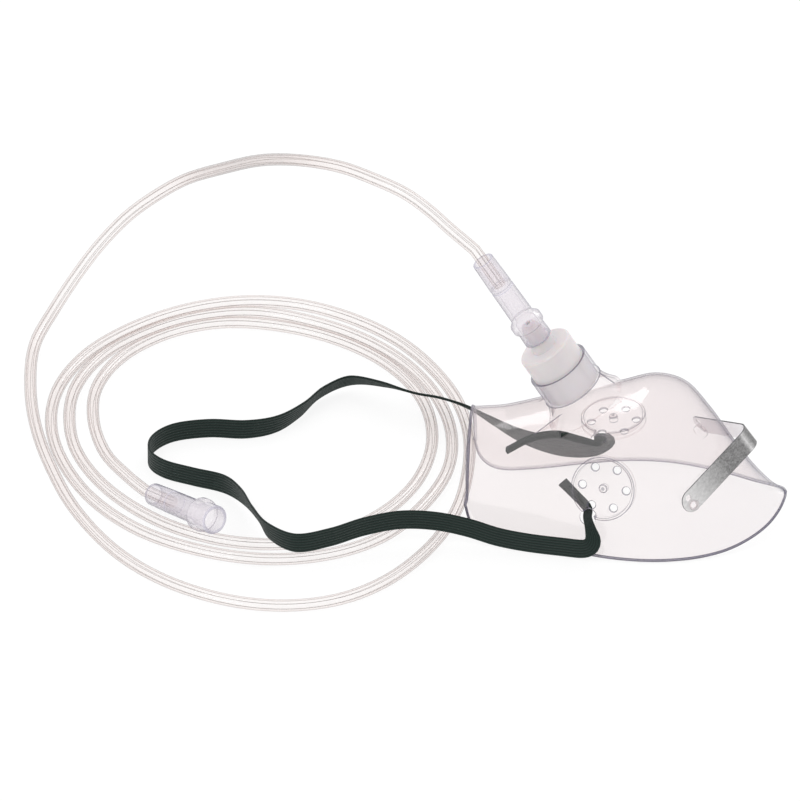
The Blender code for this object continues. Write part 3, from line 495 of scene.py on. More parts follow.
def tube_finish(tube):
    return see_through(
        "clear_tube", (0.984, 0.973, 0.969), tube.tint, edge=(0.27, 0.255, 0.26), veil=0.012, rim=0.58,
        sharpness=1.9, gloss=0.06, roughness=0.07)


def lumen_finish():
    """The edges of the bore, which refract into fine grey lines."""
    return see_through(
        "tube_bore", (0.97, 0.96, 0.955), (0.30, 0.275, 0.275), edge=(0.22, 0.20, 0.20), veil=0.22, rim=0.24,
        sharpness=1.5, gloss=0.02, roughness=0.15)


def connector_finish(fitting):
    return see_through(
        "clear_pvc", (0.972, 0.958, 0.966), fitting.connector_tint, edge=(0.19, 0.18, 0.245), veil=0.10, rim=0.90,
        sharpness=2.2, gloss=0.16, roughness=0.07)


def connector_inside_finish(fitting):
    """The bore of a connector, much fainter than its outside."""
    return see_through(
        "pvc_bore", (0.980, 0.970, 0.980), fitting.connector_tint, edge=(0.40, 0.38, 0.50), veil=0.03, rim=0.22,
        sharpness=2.5, gloss=0.08, roughness=0.10)


def connector_lip_finish():
    """Ends and steps of a connector, where light gathers in the wall."""
    return see_through(
        "pvc_lip", (0.90, 0.89, 0.92), (0.56, 0.54, 0.64), edge=(0.26, 0.25, 0.34), veil=0.48, rim=0.40,
        sharpness=1.4, gloss=0.16, roughness=0.10)


def adapter_finish(fitting):
    """Milky moulded plastic with faint flow marks."""
    finish = Finish("frosted_plug")
    cloud = finish.noise(finish.place((1.0, 1.0, 0.4)), 90.0, 4.0)
    colour = finish.blended(cloud, scaled(fitting.adapter_colour, 0.90), scaled(fitting.adapter_colour, 1.10))
    grain = finish.bump(finish.noise(finish.place(), 1400.0, 2.0), 0.03 * MM, 0.6)
    return finish.principled({
        "Base Color": colour, "Roughness": 0.30 + cloud * 0.14, "Alpha": (0.80 + finish.facing() * 0.2).up_to(1.0),
        "Normal": grain, "Subsurface Weight": 0.25, "Subsurface Scale": 4.0 * MM, "Coat Weight": 0.15})


def clip_finish(fitting):
    """Soft aluminium: lighter at its ends, darker towards the bend and mottled there by handling, with a painted
    highlight where the bend starts.
    """
    finish = Finish("clip_aluminium")
    brushed = finish.brushing()
    handled = finish.noise(finish.place(), 1500.0, 5.0, 0.7)
    along, _, height = finish.axes(finish.where())
    (_, low), (_, bend) = clip_path()[:2]
    rise = along * CLIP_RISE_AXIS.x + height * CLIP_RISE_AXIS.z
    # Darker from a light end towards the bend
    darkening = ((rise - low - CLIP_LIGHT_END) / ((bend - low) * CLIP_DARKENING_SHARE)).share()
    # Painted highlight: a light band where the bend starts, standing in for a reflection
    painted_glint = (1.0 - (rise - bend - 0.5 * GLINT_REACH).size() / GLINT_REACH).at_least(0.0)
    mark = 0.06 + darkening * (0.78 + (handled - 0.5) * 0.9) + (brushed - 0.5) * 0.6 - painted_glint * 0.70
    colour = finish.blended(mark.share(), scaled(fitting.clip_colour, 1.50), scaled(fitting.clip_colour, 0.33))
    return finish.principled({
        "Base Color": colour, "Metallic": 1.0, "Roughness": 0.34 + handled * 0.22,
        "Normal": finish.bump(brushed * 0.7 + handled * 0.5, 0.06 * MM, 0.8)})


def clip_underside_finish():
    """The underside, brighter and smoother: its near white, unmetallic colour is a painted reflection of the bright
    surroundings.
    """
    finish = Finish("clip_underside")
    brushed = finish.brushing()
    return finish.principled({
        "Base Color": finish.blended(brushed, (0.92, 0.93, 0.96), (1.0, 1.0, 1.0)), "Metallic": 0.0,
        "Roughness": 0.36 + brushed * 0.1, "Normal": finish.bump(brushed, 0.04 * MM, 0.6)})


def clip_edge_finish():
    """The sheared edges of the band, dark with painted shade."""
    finish = Finish("clip_edge")
    grain = finish.noise(finish.place(), 700.0, 2.0)
    return finish.principled({
        "Base Color": finish.blended(grain, (0.10, 0.10, 0.105), (0.22, 0.22, 0.23)), "Metallic": 1.0,
        "Roughness": 0.45})


def strap_finish(strap):
    """Elastic band: yarn laid over rubber ribs, darker in the grooves, crossed by fine weft threads."""
    finish = Finish("green_elastic")
    along, across, _ = finish.axes(finish.node("ShaderNodeUVMap", uv_map="UVMap"))
    turns = 2.0 * math.pi * strap.ribs
    rib = (across * turns - math.pi / 2).wave()
    weft = (along * (2.0 * math.pi / WEFT_PITCH) + (rib - 0.5) * 1.6).wave()
    knit = (along * (2.0 * math.pi / KNIT_PITCH) + across * turns).wave()
    dust = finish.noise(finish.place(), 900.0, 3.0)
    share = (rib * 0.62 + weft * 0.18 + knit * 0.10 + dust * 0.22 - 0.06).up_to(1.0)
    height = rib * 0.55 + weft * 0.28 + knit * 0.17
    return finish.principled({
        "Base Color": finish.blended(share, scaled(strap.colour, 0.45), scaled(strap.colour, 1.7)),
        "Roughness": 0.72 + dust * 0.2, "Normal": finish.bump(height, 0.22 * MM, 0.9),
        "Sheen Weight": 0.14, "Sheen Roughness": 0.5, "Specular IOR Level": 0.2})


def floor_finish(stage):
    finish = Finish("pale_floor")
    cloud = finish.noise(finish.place(), 3.0, 2.0)
    return finish.principled({
        "Base Color": finish.blended(cloud, scaled(stage.floor_colour, 0.995), scaled(stage.floor_colour, 1.0)),
        "Roughness": 0.9, "Specular IOR Level": 0.0, "Emission Color": (1.0, 1.0, 1.0),
        "Emission Strength": stage.floor_glow})


# Mesh building

def add_object(name, data, *finishes):
    obj = bpy.data.objects.new(name, data)
    bpy.context.scene.collection.objects.link(obj)
    for finish in finishes:
        data.materials.append(finish)
    return obj


def smoothed(data, angle):
    """The mesh shaded smooth, but for edges sharper than the angle in degrees."""
    data.shade_smooth()
    data.set_sharp_from_angle(angle=math.radians(angle))
    return data


def mesh_from(name, bm, angle=35):
    data = bpy.data.meshes.new(name)
    bm.normal_update()
    bm.to_mesh(data)
    bm.free()
    return smoothed(data, angle)


def applied(obj, name, *helpers, angle=35):
    """The object's evaluated shape as a plain mesh, with its modifiers and helpers gone."""
    bpy.context.view_layer.update()
    graph = bpy.context.evaluated_depsgraph_get()
    data = bpy.data.meshes.new_from_object(obj.evaluated_get(graph), depsgraph=graph)
    data.name = name
    finishes = [slot.material for slot in obj.material_slots]
    for old in (obj, *helpers):
        bpy.data.objects.remove(old, do_unlink=True)
    if not data.materials:
        for finish in finishes:
            data.materials.append(finish)
    return add_object(name, smoothed(data, angle))


def boolean(target, other, operation):
    modifier = target.modifiers.new(other.name, "BOOLEAN")
    modifier.operation = operation
    modifier.object = other
    modifier.solver = "MANIFOLD"
    modifier.material_mode = "INDEX"
    return other


def frame_along(origin, axis, side=Vector((0.0, 1.0, 0.0))):
    """Matrix that puts local +Z on the axis and local +Y as near the side vector as it can."""
    z = Vector(axis).normalized()
    x = Vector(side).cross(z).normalized()
    y = z.cross(x)
    rotation = Matrix((x, y, z)).transposed()
    return Matrix.Translation(origin) @ rotation.to_4x4()


def smooth_rows(rows, per_row):
    """Rows read from a smooth curve through the given rows, with each given row kept."""
    rows = np.asarray(rows, float)
    padded = np.vstack([2 * rows[0] - rows[1], rows, 2 * rows[-1] - rows[-2]])
    out = []
    for index in range(len(rows) - 1):
        p0, p1, p2, p3 = padded[index : index + 4]
        for step in range(per_row):
            t = step / per_row
            out.append(0.5 * (2 * p1 + (p2 - p0) * t + (2 * p0 - 5 * p1 + 4 * p2 - p3) * t**2
                              + (3 * p1 - p0 - 3 * p2 + p3) * t**3))
    out.append(rows[-1])
    return np.array(out)


def run_along(points):
    """Length of the path up to each of its points."""
    return np.concatenate([[0.0], np.cumsum(np.linalg.norm(np.diff(points, axis=0), axis=1))])


def evenly_spaced(points, count):
    run = run_along(points[:, :3])
    where = np.linspace(0.0, run[-1], count)
    return np.stack([np.interp(where, run, column) for column in points.T], axis=1)


def lathe(profile, sides, edges=()):
    """Closed solid turned about Z from (radius, height) points. Bands named in edges take the second finish."""
    bm = bmesh.new()
    rings = []
    for radius, height in profile:
        if radius <= 0.0:
            rings.append([bm.verts.new((0.0, 0.0, height))])
            continue
        ring = []
        for k in range(sides):
            angle = 2 * math.pi * k / sides
            ring.append(bm.verts.new((radius * math.cos(angle), radius * math.sin(angle), height)))
        rings.append(ring)
    for band, (lower, upper) in enumerate(zip(rings, rings[1:] + rings[:1])):
        if len(lower) == 1 and len(upper) == 1:
            continue
        for k in range(sides):
            m = (k + 1) % sides
            if len(lower) == 1:
                face = bm.faces.new((lower[0], upper[m], upper[k]))
            elif len(upper) == 1:
                face = bm.faces.new((lower[k], lower[m], upper[0]))
            else:
                face = bm.faces.new((lower[k], lower[m], upper[m], upper[k]))
            face.material_index = 1 if band in edges else 0
    bmesh.ops.recalc_face_normals(bm, faces=bm.faces)
    return bm


def rounded(profile, radius, steps=3):
    """The outline with each of its corners rounded, but for points on the axis and nearly straight corners."""
    out = []
    for k in range(len(profile)):
        before, here, after = (Vector(profile[(k + d) % len(profile)]) for d in (-1, 0, 1))
        back, onward = before - here, after - here
        short = back.length < 1e-6 or onward.length < 1e-6
        if here.x <= 0.0 or short or back.angle(onward) > math.radians(165):
            out.append(tuple(here))
            continue
        reach = min(radius, back.length * 0.45, onward.length * 0.45)
        first = here + back.normalized() * reach
        last = here + onward.normalized() * reach
        for step in range(steps + 1):
            t = step / steps
            out.append(tuple(first * (1 - t) ** 2 + here * 2 * t * (1 - t) + last * t**2))
    return out


def cylinder(radius, low, high, sides, edges=()):
    return lathe([(0.0, low), (radius, low), (radius, high), (0.0, high)], sides, edges)


def put(bm, matrix):
    bmesh.ops.transform(bm, matrix=matrix, verts=bm.verts)
    return bm


def joined(parts):
    """Several separate solids in one mesh."""
    whole = bmesh.new()
    for bm in parts:
        data = bpy.data.meshes.new("joined")
        bm.to_mesh(data)
        bm.free()
        whole.from_mesh(data)
        bpy.data.meshes.remove(data)
    return whole


def close_sweep(bm, rings):
    """Sides between matching rings, and a cap at both ends."""
    for first, second in zip(rings, rings[1:]):
        for k in range(len(first)):
            m = (k + 1) % len(first)
            bm.faces.new((first[k], first[m], second[m], second[k]))
    bm.faces.new(rings[0][::-1])
    bm.faces.new(rings[-1])
    bmesh.ops.recalc_face_normals(bm, faces=bm.faces)


# The shell's form, by the same rules as its solid

def shell_rows():
    rows = smooth_rows(SHELL_ROWS, SECTIONS_PER_ROW)
    rows = rows * np.array([MASK_LENGTH, MASK_WIDTH / 2, MASK_HEIGHT, MASK_LENGTH, MASK_HEIGHT, 1.0])
    rows[:, 0] -= MASK_LENGTH / 2
    rows[:, 3] -= MASK_LENGTH / 2
    rows[:, 1:3] = np.maximum(rows[:, 1:3], 0.0)
    rows[:, 2] += FLOOR_LIFT
    rows[:, 4] += FLOOR_LIFT
    return rows


def section_point(row, turn, side):
    """Point of one section: turn 0 is the rim and a quarter turn is the crest."""
    rim_x, half_width, rim_z, crest_x, crest_z, fullness = row
    across = max(math.cos(turn), 0.0) ** (2 / fullness)
    up = math.sin(turn) ** (2 / fullness)
    rise = (crest_z - rim_z) * up
    flare_share = min(1.0, half_width / (MASK_WIDTH / 4))
    flare = LIP_FLARE * flare_share * math.exp(-((rise / LIP_HEIGHT) ** 2))
    foot = max(half_width - LIP_FLARE * flare_share, 0.0)
    return Vector((rim_x + (crest_x - rim_x) * up, side * (foot * across + flare), rim_z + rise))


def turn_where(row, reads, wanted):
    """Turn at which a reading that grows with it reaches the wanted value."""
    low, high = 0.0, math.pi / 2
    for _ in range(30):
        middle = (low + high) / 2
        if reads(section_point(row, middle, 1)) < wanted:
            low = middle
        else:
            high = middle
    return low


def cheek_surface(along, height, side):
    """Point and outward normal of the shell's outer face at a share of the length and a height."""

    def at(share, z):
        x = (share - 0.5) * MASK_LENGTH
        points = [section_point(row, turn_where(row, lambda p: p.z, z), side) for row in shell_rows()]
        for a, b in zip(points, points[1:]):
            if a.x <= x <= b.x:
                return a.lerp(b, (x - a.x) / (b.x - a.x))
        return points[-1]

    step, rise = 0.02, 2.0 * MM
    run = at(along + step, height) - at(along - step, height)
    climb = at(along, height + rise) - at(along, height - rise)
    normal = run.cross(climb).normalized()
    if normal.y * side < 0:
        normal = -normal
    return at(along, height), normal


def film_height(x, y):
    """Height of the shell's outer face over a place on the floor."""
    rows = [row for row in shell_rows() if section_point(row, 0.0, 1).y > y]
    points = [section_point(row, turn_where(row, lambda p: -p.y, -y), 1) for row in rows]
    return float(np.interp(x, [p.x for p in points], [p.z for p in points]))


def crest_point(along):
    rows = shell_rows()
    x = (along - 0.5) * MASK_LENGTH
    return Vector((x, 0.0, float(np.interp(x, rows[:, 3], rows[:, 4]))))


def port_frame():
    """Local +Z runs up the port, with its origin on the crest."""
    axis = Vector((-math.sin(PORT_LEAN), 0.0, math.cos(PORT_LEAN)))
    return frame_along(crest_point(PORT_ALONG), axis)


def disc_frame(side):
    point, normal = cheek_surface(DISC_ALONG, DISC_HEIGHT, side)
    return frame_along(point, normal, Vector((0.0, 0.0, 1.0)))


def clip_peak():
    ridge = max(Vector((row[3], 0.0, row[4])).dot(CLIP_RISE_AXIS) for row in shell_rows())
    return ridge + CLIP_STAND_OFF


def clip_leg_angle():
    """Slope of a leg against the cross axis, from a stud to the bend over the nose ridge."""
    point, _ = cheek_surface(STUD_ALONG, STUD_HEIGHT, 1)
    return math.atan2(clip_peak() - point.dot(CLIP_RISE_AXIS), point.y)


def stud_frame(side):
    """Local +Z leaves the cheek square to the clip's leg, with its origin on the film."""
    point, _ = cheek_surface(STUD_ALONG, STUD_HEIGHT, side)
    angle = clip_leg_angle()
    normal = Vector((0.0, side, 0.0)) * math.sin(angle) + CLIP_RISE_AXIS * math.cos(angle)
    return frame_along(point, normal, CLIP_WIDTH_AXIS)


def clip_path():
    """Underside of the clip as (cross, rise) points from the near end to the far end."""
    point, _ = cheek_surface(STUD_ALONG, STUD_HEIGHT, 1)
    angle = clip_leg_angle()
    along_leg = Vector((math.cos(angle), -math.sin(angle)))
    out = Vector((math.sin(angle), math.cos(angle)))
    seat = Vector((point.y, point.dot(CLIP_RISE_AXIS))) + out * (FIT_GAP + CLIP_SEAT)
    end = seat + along_leg * CLIP_TAIL
    centre_rise = seat.y + seat.x * math.tan(angle) - CLIP_BEND_RADIUS / math.cos(angle)
    turns = [angle * k / 12 for k in range(-12, 13)]
    bend = [(CLIP_BEND_RADIUS * math.sin(turn), centre_rise + CLIP_BEND_RADIUS * math.cos(turn)) for turn in turns]
    return [(-end.x, end.y)] + bend + [(end.x, end.y)]


def inlet_frame():
    """The connector that is pushed over the adapter's stem."""
    return port_frame() @ Matrix.Translation((0.0, 0.0, PORT_LENGTH + ADAPTER_STAND + STEM_SHOWN))


def outlet_axis():
    """From the outlet connector's mouth to its tube socket."""
    level = math.cos(OUTLET_RISE)
    return -Vector((level * math.cos(OUTLET_HEADING), level * math.sin(OUTLET_HEADING), math.sin(OUTLET_RISE)))


def outlet_frame():
    return frame_along(OUTLET_BACK - outlet_axis() * CONNECTOR_LENGTH, outlet_axis())


# Pieces

def make_film_shell(film):
    turns = [math.pi / 2 * share**POINTS_CROWDING for share in np.linspace(0.0, 1.0, POINTS_PER_SIDE)]
    bm = bmesh.new()
    grid = []
    for row in shell_rows():
        near = [section_point(row, turn, -1) for turn in turns]
        far = [section_point(row, turn, 1) for turn in turns[-2::-1]]
        grid.append([bm.verts.new(point) for point in near + far])
    for first, second in zip(grid, grid[1:]):
        for k in range(len(first) - 1):
            bm.faces.new((first[k], second[k], second[k + 1], first[k + 1]))
    bmesh.ops.remove_doubles(bm, verts=bm.verts, dist=0.01 * MM)
    bmesh.ops.dissolve_degenerate(bm, edges=bm.edges, dist=0.002 * MM)
    bmesh.ops.recalc_face_normals(bm, faces=bm.faces)
    if sum(face.normal.z for face in bm.faces) < 0:
        bmesh.ops.reverse_faces(bm, faces=bm.faces)
    finishes = (film_finish(film), film_edge_finish(film), port_finish())
    wall = add_object("film_wall", mesh_from("film_wall", bm), *finishes)
    solid = wall.modifiers.new("film_thickness", "SOLIDIFY")
    solid.thickness = film.thickness
    solid.offset = -1.0
    solid.use_even_offset = False
    solid.use_rim = True
    solid.material_offset_rim = 1
    port = port_frame()
    openings = [put(port_solid(0.5 * PORT_WALL, 3 * PORT_SKIRT), port)]
    cuts = [put(port_solid(PORT_WALL, 2 * PORT_LENGTH), port)]
    discs, studs = [], []
    for side in (-1, 1):
        opening = cylinder(DISC_DIAMETER / 2 - DISC_RING_WIDTH / 2, -2 * DISC_DEPTH, 2 * DISC_DEPTH, ROUND_SIDES)
        openings.append(put(opening, disc_frame(side)))
        discs.append(put(disc_solid(film), disc_frame(side)))
        studs.append(put(lathe(stud_profile(film), SMALL_ROUND_SIDES), stud_frame(side)))
        cuts.extend(disc_hole_cutters(film, side))
        point, normal = cheek_surface(STRAP_HOLE_ALONG, STRAP_HOLE_HEIGHT, side)
        hole = cylinder(STRAP_HOLE_DIAMETER / 2, -STRAP_HOLE_REACH, STRAP_HOLE_REACH, SMALL_ROUND_SIDES, {1})
        cuts.append(put(hole, frame_along(point, normal)))
    steps = (("wall_openings", openings, "DIFFERENCE"), ("port_webs", port_webs(film), "UNION"),
             ("port_tube", [put(port_solid(0.0, PORT_LENGTH), port)], "UNION"),
             ("breathing_discs", discs, "UNION"), ("clip_studs", studs, "UNION"), ("bores", cuts, "DIFFERENCE"))
    helpers = [boolean(wall, helper(name, joined(solids), finishes), kind) for name, solids, kind in steps]
    return applied(wall, "film_shell", *helpers)


def rim_loop(film):
    """Closed path along the middle of the rim, from the chin round the nose and back over the chin's edge."""
    rows = shell_rows()
    inset = film.bead
    loop = [section_point(row, 0.0, -1) + Vector((0.0, inset, inset * 0.8)) for row in rows]
    loop += [section_point(row, 0.0, 1) + Vector((0.0, -inset, inset * 0.8)) for row in rows[-2::-1]]
    arc = [section_point(rows[0], turn, 1) for turn in np.linspace(0.06, math.pi / 2, CHIN_ARC_POINTS)]
    middle = Vector((0.0, 0.0, 0.3 * arc[-1].z))
    arc += [Vector((point.x, -point.y, point.z)) for point in arc[-2::-1]]
    for point in arc:
        inwards = (middle - Vector((0.0, point.y, point.z))).normalized() * inset
        loop.append(point + inwards + Vector((inset, 0.0, 0.0)))
    for point in loop:
        point.x = min(point.x, MASK_LENGTH / 2 - inset)
    return loop


def wired(tree, kind, sockets):
    """Adds a node to a tree, with a wire or a value in each named socket, and gives its first output."""
    made = tree.nodes.new(kind)
    for name, value in sockets.items():
        if isinstance(value, bpy.types.NodeSocket):
            tree.links.new(value, made.inputs[name])
        else:
            made.inputs[name].default_value = value
    return made.outputs[0] if made.outputs else None


def sweep(name, line, draw_profile, settings, finish, angle, closed=False):
    """Sweeps a profile along a line with Geometry Nodes. Settings gives the kind and value of each input."""
    tree = bpy.data.node_groups.new(name, "GeometryNodeTree")
    inputs = {**settings, "Finish": ("NodeSocketMaterial", finish)}
    tree.interface.new_socket("Geometry", in_out="INPUT", socket_type="NodeSocketGeometry")
    for setting, (kind, _) in inputs.items():
        tree.interface.new_socket(setting, in_out="INPUT", socket_type=kind)
    tree.interface.new_socket("Geometry", in_out="OUTPUT", socket_type="NodeSocketGeometry")
    entry = tree.nodes.new("NodeGroupInput").outputs
    swept = wired(tree, "GeometryNodeCurveToMesh", {
        "Curve": entry["Geometry"], "Profile Curve": draw_profile(tree, entry), "Fill Caps": True})
    real = wired(tree, "GeometryNodeRealizeInstances", {"Geometry": swept})
    dressed = wired(tree, "GeometryNodeSetMaterial", {"Geometry": real, "Material": entry["Finish"]})
    wired(tree, "NodeGroupOutput", {"Geometry": dressed})
    guide = add_object(name + "_guide", line_curve(name + "_guide", line, 0.0))
    guide.data.splines[0].use_cyclic_u = closed
    modifier = guide.modifiers.new(name, "NODES")
    modifier.node_group = tree
    for item in tree.interface.items_tree:
        if item.item_type == "SOCKET" and item.in_out == "INPUT" and item.name in inputs:
            modifier[item.identifier] = inputs[item.name][1]
    return applied(guide, name, angle=angle)


def bead_round(tree, entry):
    return wired(tree, "GeometryNodeCurvePrimitiveCircle", {
        "Radius": entry["Bead Radius"], "Resolution": entry["Sides"]})


def make_rim_bead(film):
    settings = {"Bead Radius": ("NodeSocketFloat", film.bead), "Sides": ("NodeSocketInt", BEAD_SIDES)}
    return sweep("rim_bead", rim_loop(film), bead_round, settings, bead_finish(film), 60, closed=True)


def helper(name, bm, finishes):
    """A solid that only shapes another one. It has the same finishes as the film."""
    obj = add_object(name, mesh_from(name, bm), *finishes)
    obj.hide_render = True
    return obj


def port_solid(inset, top):
    """The port's round, which flares into the film below its foot. Deeper copies with an inset are cutters."""
    outer = PORT_BORE / 2 + PORT_WALL - inset
    low = -PORT_SKIRT - (PORT_CUT_EXTRA if inset else 0.0)
    profile = [(0.0, low)]
    for share in np.linspace(1.0, 0.0, 9):
        height = PORT_FOOT + (low - PORT_FOOT) * share
        fall = (PORT_FOOT - height) / (PORT_FOOT + PORT_SKIRT)
        profile.append((outer + PORT_FLARE * fall**PORT_FLARE_POWER, height))
    if not inset:
        profile += [(outer + out * MM, PORT_FOOT + up * MM) for out, up in PORT_BEAD]
    profile += [(outer, top), (0.0, top)]
    bm = lathe(profile, ROUND_SIDES)
    for face in bm.faces:
        middle = face.calc_center_median()
        above = middle.z - PORT_FOOT
        if inset:
            face.material_index = 2 if above > 0.0 else 0
        elif middle.z > top - 0.01 * MM:
            face.material_index = 1
        elif above > 0.0 and math.hypot(middle.x, middle.y) > 0.9 * outer:
            face.material_index = 2 if above > 0.6 * MM else 1
    return bm


def disc_solid(film):
    """Recessed flat panel with a raised ring round it and a pin at its middle."""
    radius = DISC_DIAMETER / 2
    panel = film.thickness - DISC_DEPTH
    pin, pin_top = DISC_PIN_DIAMETER / 2, panel + DISC_PIN_RISE
    inside = radius - DISC_RING_WIDTH
    fine = 0.3 * MM
    profile = [
        (0.0, -DISC_DEPTH), (radius, -DISC_DEPTH), (radius, DISC_RING_RISE - fine), (radius - fine, DISC_RING_RISE),
        (inside + 0.5 * fine, DISC_RING_RISE), (inside, DISC_RING_RISE - fine), (inside - fine, panel),
        (pin, panel), (pin, panel + 0.4 * MM), (pin, pin_top - 0.7 * MM), (pin - 0.4 * MM, pin_top),
        (0.4 * pin, pin_top), (0.0, pin_top - fine)]
    return lathe(profile, ROUND_SIDES, {2, 4, 7, 9, 11})


def disc_hole_cutters(film, side):
    fine = 0.1 * MM
    radius, panel = DISC_HOLE_DIAMETER / 2, film.thickness - DISC_DEPTH
    low, high = (radius - fine, fine - DISC_DEPTH), (radius + 3 * fine, panel + 0.5 * fine)
    profile = [
        (0.0, -2 * DISC_DEPTH), (low[0], -2 * DISC_DEPTH), low, high, (high[0], DISC_DEPTH), (0.0, DISC_DEPTH)]
    cutters = []
    for k in range(DISC_HOLES):
        angle = 2 * math.pi * k / DISC_HOLES
        place = Matrix.Translation((
            DISC_HOLE_CIRCLE / 2 * math.cos(angle), DISC_HOLE_CIRCLE / 2 * math.sin(angle), 0.0))
        cutters.append(put(lathe(profile, SMALL_ROUND_SIDES, {1, 2, 3}), disc_frame(side) @ place))
    return cutters


def web(corners, offset, crest):
    """Web of the port, flat in the XZ plane, with the narrow face after its corner number crest as an edge."""
    bm = bmesh.new()
    near, far = ([bm.verts.new((x, offset + half, z)) for x, z in corners]
                 for half in (-WEB_THICKNESS / 2, WEB_THICKNESS / 2))
    bm.faces.new(near)
    bm.faces.new(far[::-1])
    for k in range(len(corners)):
        m = (k + 1) % len(corners)
        bm.faces.new((near[m], near[k], far[k], far[m])).material_index = int(k == crest)
    bmesh.ops.recalc_face_normals(bm, faces=bm.faces)
    return bm


def port_webs(film):
    """Two low webs run from the port's flanks to the chin, and one from its front to the nose."""
    outer = PORT_BORE / 2 + PORT_WALL
    foot = crest_point(PORT_ALONG)
    flank = outer - WEB_THICKNESS
    sunk = film.thickness * 0.7
    along = [foot.x - WEB_CHIN_REACH * share for share in np.linspace(0.0, 1.0, 9)]
    chin = [(x, film_height(x, flank) - sunk) for x in along]
    chin += [(along[-1], chin[-1][1] + 0.8 * sunk), (foot.x, foot.z + WEB_CHIN_HEIGHT)]
    nose_end = crest_point(PORT_ALONG + (outer + WEB_NOSE_REACH) / MASK_LENGTH)
    nose = [
        (foot.x + 0.6 * outer, foot.z - sunk), (foot.x + 0.6 * outer, foot.z + WEB_NOSE_HEIGHT),
        (nose_end.x, nose_end.z - 0.1 * MM), (nose_end.x - MM, nose_end.z - 0.9 * film.thickness)]
    top = len(chin) - 2
    return [web(chin, -flank, top), web(chin, flank, top), web(nose, 0.0, 1)]


def stud_profile(film):
    """Shoulder under the clip, pin through it and head over it."""
    shoulder, pin, head = STUD_SHOULDER / 2, STUD_DIAMETER / 2, STUD_HEAD / 2
    under_head = CLIP_SEAT + CLIP_THICKNESS + 2 * FIT_GAP
    top = under_head + STUD_HEAD_HEIGHT
    return [
        (0.0, -film.thickness), (shoulder, -film.thickness), (shoulder, CLIP_SEAT - 0.4 * MM),
        (shoulder - 0.4 * MM, CLIP_SEAT), (pin, CLIP_SEAT), (pin, under_head), (head, under_head),
        (head, under_head + 0.5 * STUD_HEAD_HEIGHT), (0.76 * head, under_head + 0.85 * STUD_HEAD_HEIGHT),
        (0.4 * head, top), (0.0, top)]


def make_adapter(fitting):
    outer = PORT_BORE / 2 - FIT_GAP
    inner = outer - ADAPTER_WALL
    low = PORT_LENGTH - ADAPTER_DEPTH
    top = PORT_LENGTH + ADAPTER_STAND
    plug = [(inner, low), (outer, low), (outer, top - ADAPTER_CHAMFER), (outer - ADAPTER_CHAMFER, top)]
    stem = [(radius * MM, top + height * MM) for radius, height in STEM_STEPS]
    bore = [(STEM_BORE / 2, stem[-1][1]), (STEM_BORE / 2, top - ADAPTER_WALL), (inner, top - ADAPTER_WALL)]
    bm = put(lathe(rounded(plug + stem + bore, SOFT_CORNER), ROUND_SIDES), port_frame())
    return add_object("adapter_plug", mesh_from("adapter_plug", bm), adapter_finish(fitting))


def connector_profile():
    """Mouth at zero, tube socket at the far end, one thin wall from end to end with a flange behind the mouth."""
    sleeve = CONNECTOR_SLEEVE_DIAMETER / 2
    collar = CONNECTOR_COLLAR_DIAMETER / 2
    neck = CONNECTOR_NECK_DIAMETER / 2
    end = CONNECTOR_END_DIAMETER / 2
    draft, throat = CONNECTOR_DRAFT, CONNECTOR_THROAT
    collar_low = CONNECTOR_SLEEVE_LENGTH - CONNECTOR_BEVEL
    collar_high = collar_low + CONNECTOR_COLLAR_LENGTH
    neck_low = collar_high + CONNECTOR_NECK_START
    socket_low = CONNECTOR_LENGTH - TUBE_SOCKET_DEPTH
    barrel = end + (neck - end) / (CONNECTOR_LENGTH - neck_low) * TUBE_SOCKET_DEPTH
    mouth = sleeve - CONNECTOR_MOUTH_WALL
    way = neck - CONNECTOR_WALL - throat
    outside = [
        (mouth, 0.0), (sleeve, 0.0), (sleeve - draft, collar_low - 0.5 * MM), (collar - draft, collar_low),
        (collar, collar_low + 0.4 * MM), (collar, collar_high - 0.6 * MM), (neck + draft, neck_low - 0.8 * MM),
        (neck, neck_low), (barrel + draft / 2, socket_low - 1.3 * MM), (barrel - draft, socket_low - 1.0 * MM),
        (barrel - draft, socket_low - 0.3 * MM), (barrel + draft / 2, socket_low), (end, CONNECTOR_LENGTH)]
    inside = [
        (end - CONNECTOR_WALL, CONNECTOR_LENGTH), (barrel - CONNECTOR_WALL, socket_low),
        (barrel - CONNECTOR_WALL - throat, socket_low - 0.5 * MM), (way, neck_low), (way, collar_high + throat),
        (mouth, collar_high - throat)]
    return rounded(outside + inside, SOFT_CORNER)


def make_connector(name, place, finishes):
    """Its outside takes the first finish, its bore the second, and its ends and the two fine steps the third."""
    bm = lathe(connector_profile(), ROUND_SIDES)
    steps_middle = CONNECTOR_LENGTH - TUBE_SOCKET_DEPTH - 0.65 * MM
    for face in bm.faces:
        middle = face.calc_center_median()
        outwards = face.normal.dot(Vector((middle.x, middle.y, 0.0)).normalized())
        at_end = min(middle.z, CONNECTOR_LENGTH - middle.z) < 0.3 * MM
        at_step = abs(middle.z - steps_middle) < 0.85 * MM and abs(face.normal.z) > 0.2 and outwards > 0.2
        if at_step or (at_end and abs(face.normal.z) > 0.4):
            face.material_index = 2
        elif outwards < -0.3:
            face.material_index = 1
    return add_object(name, mesh_from(name, put(bm, place)), *finishes)


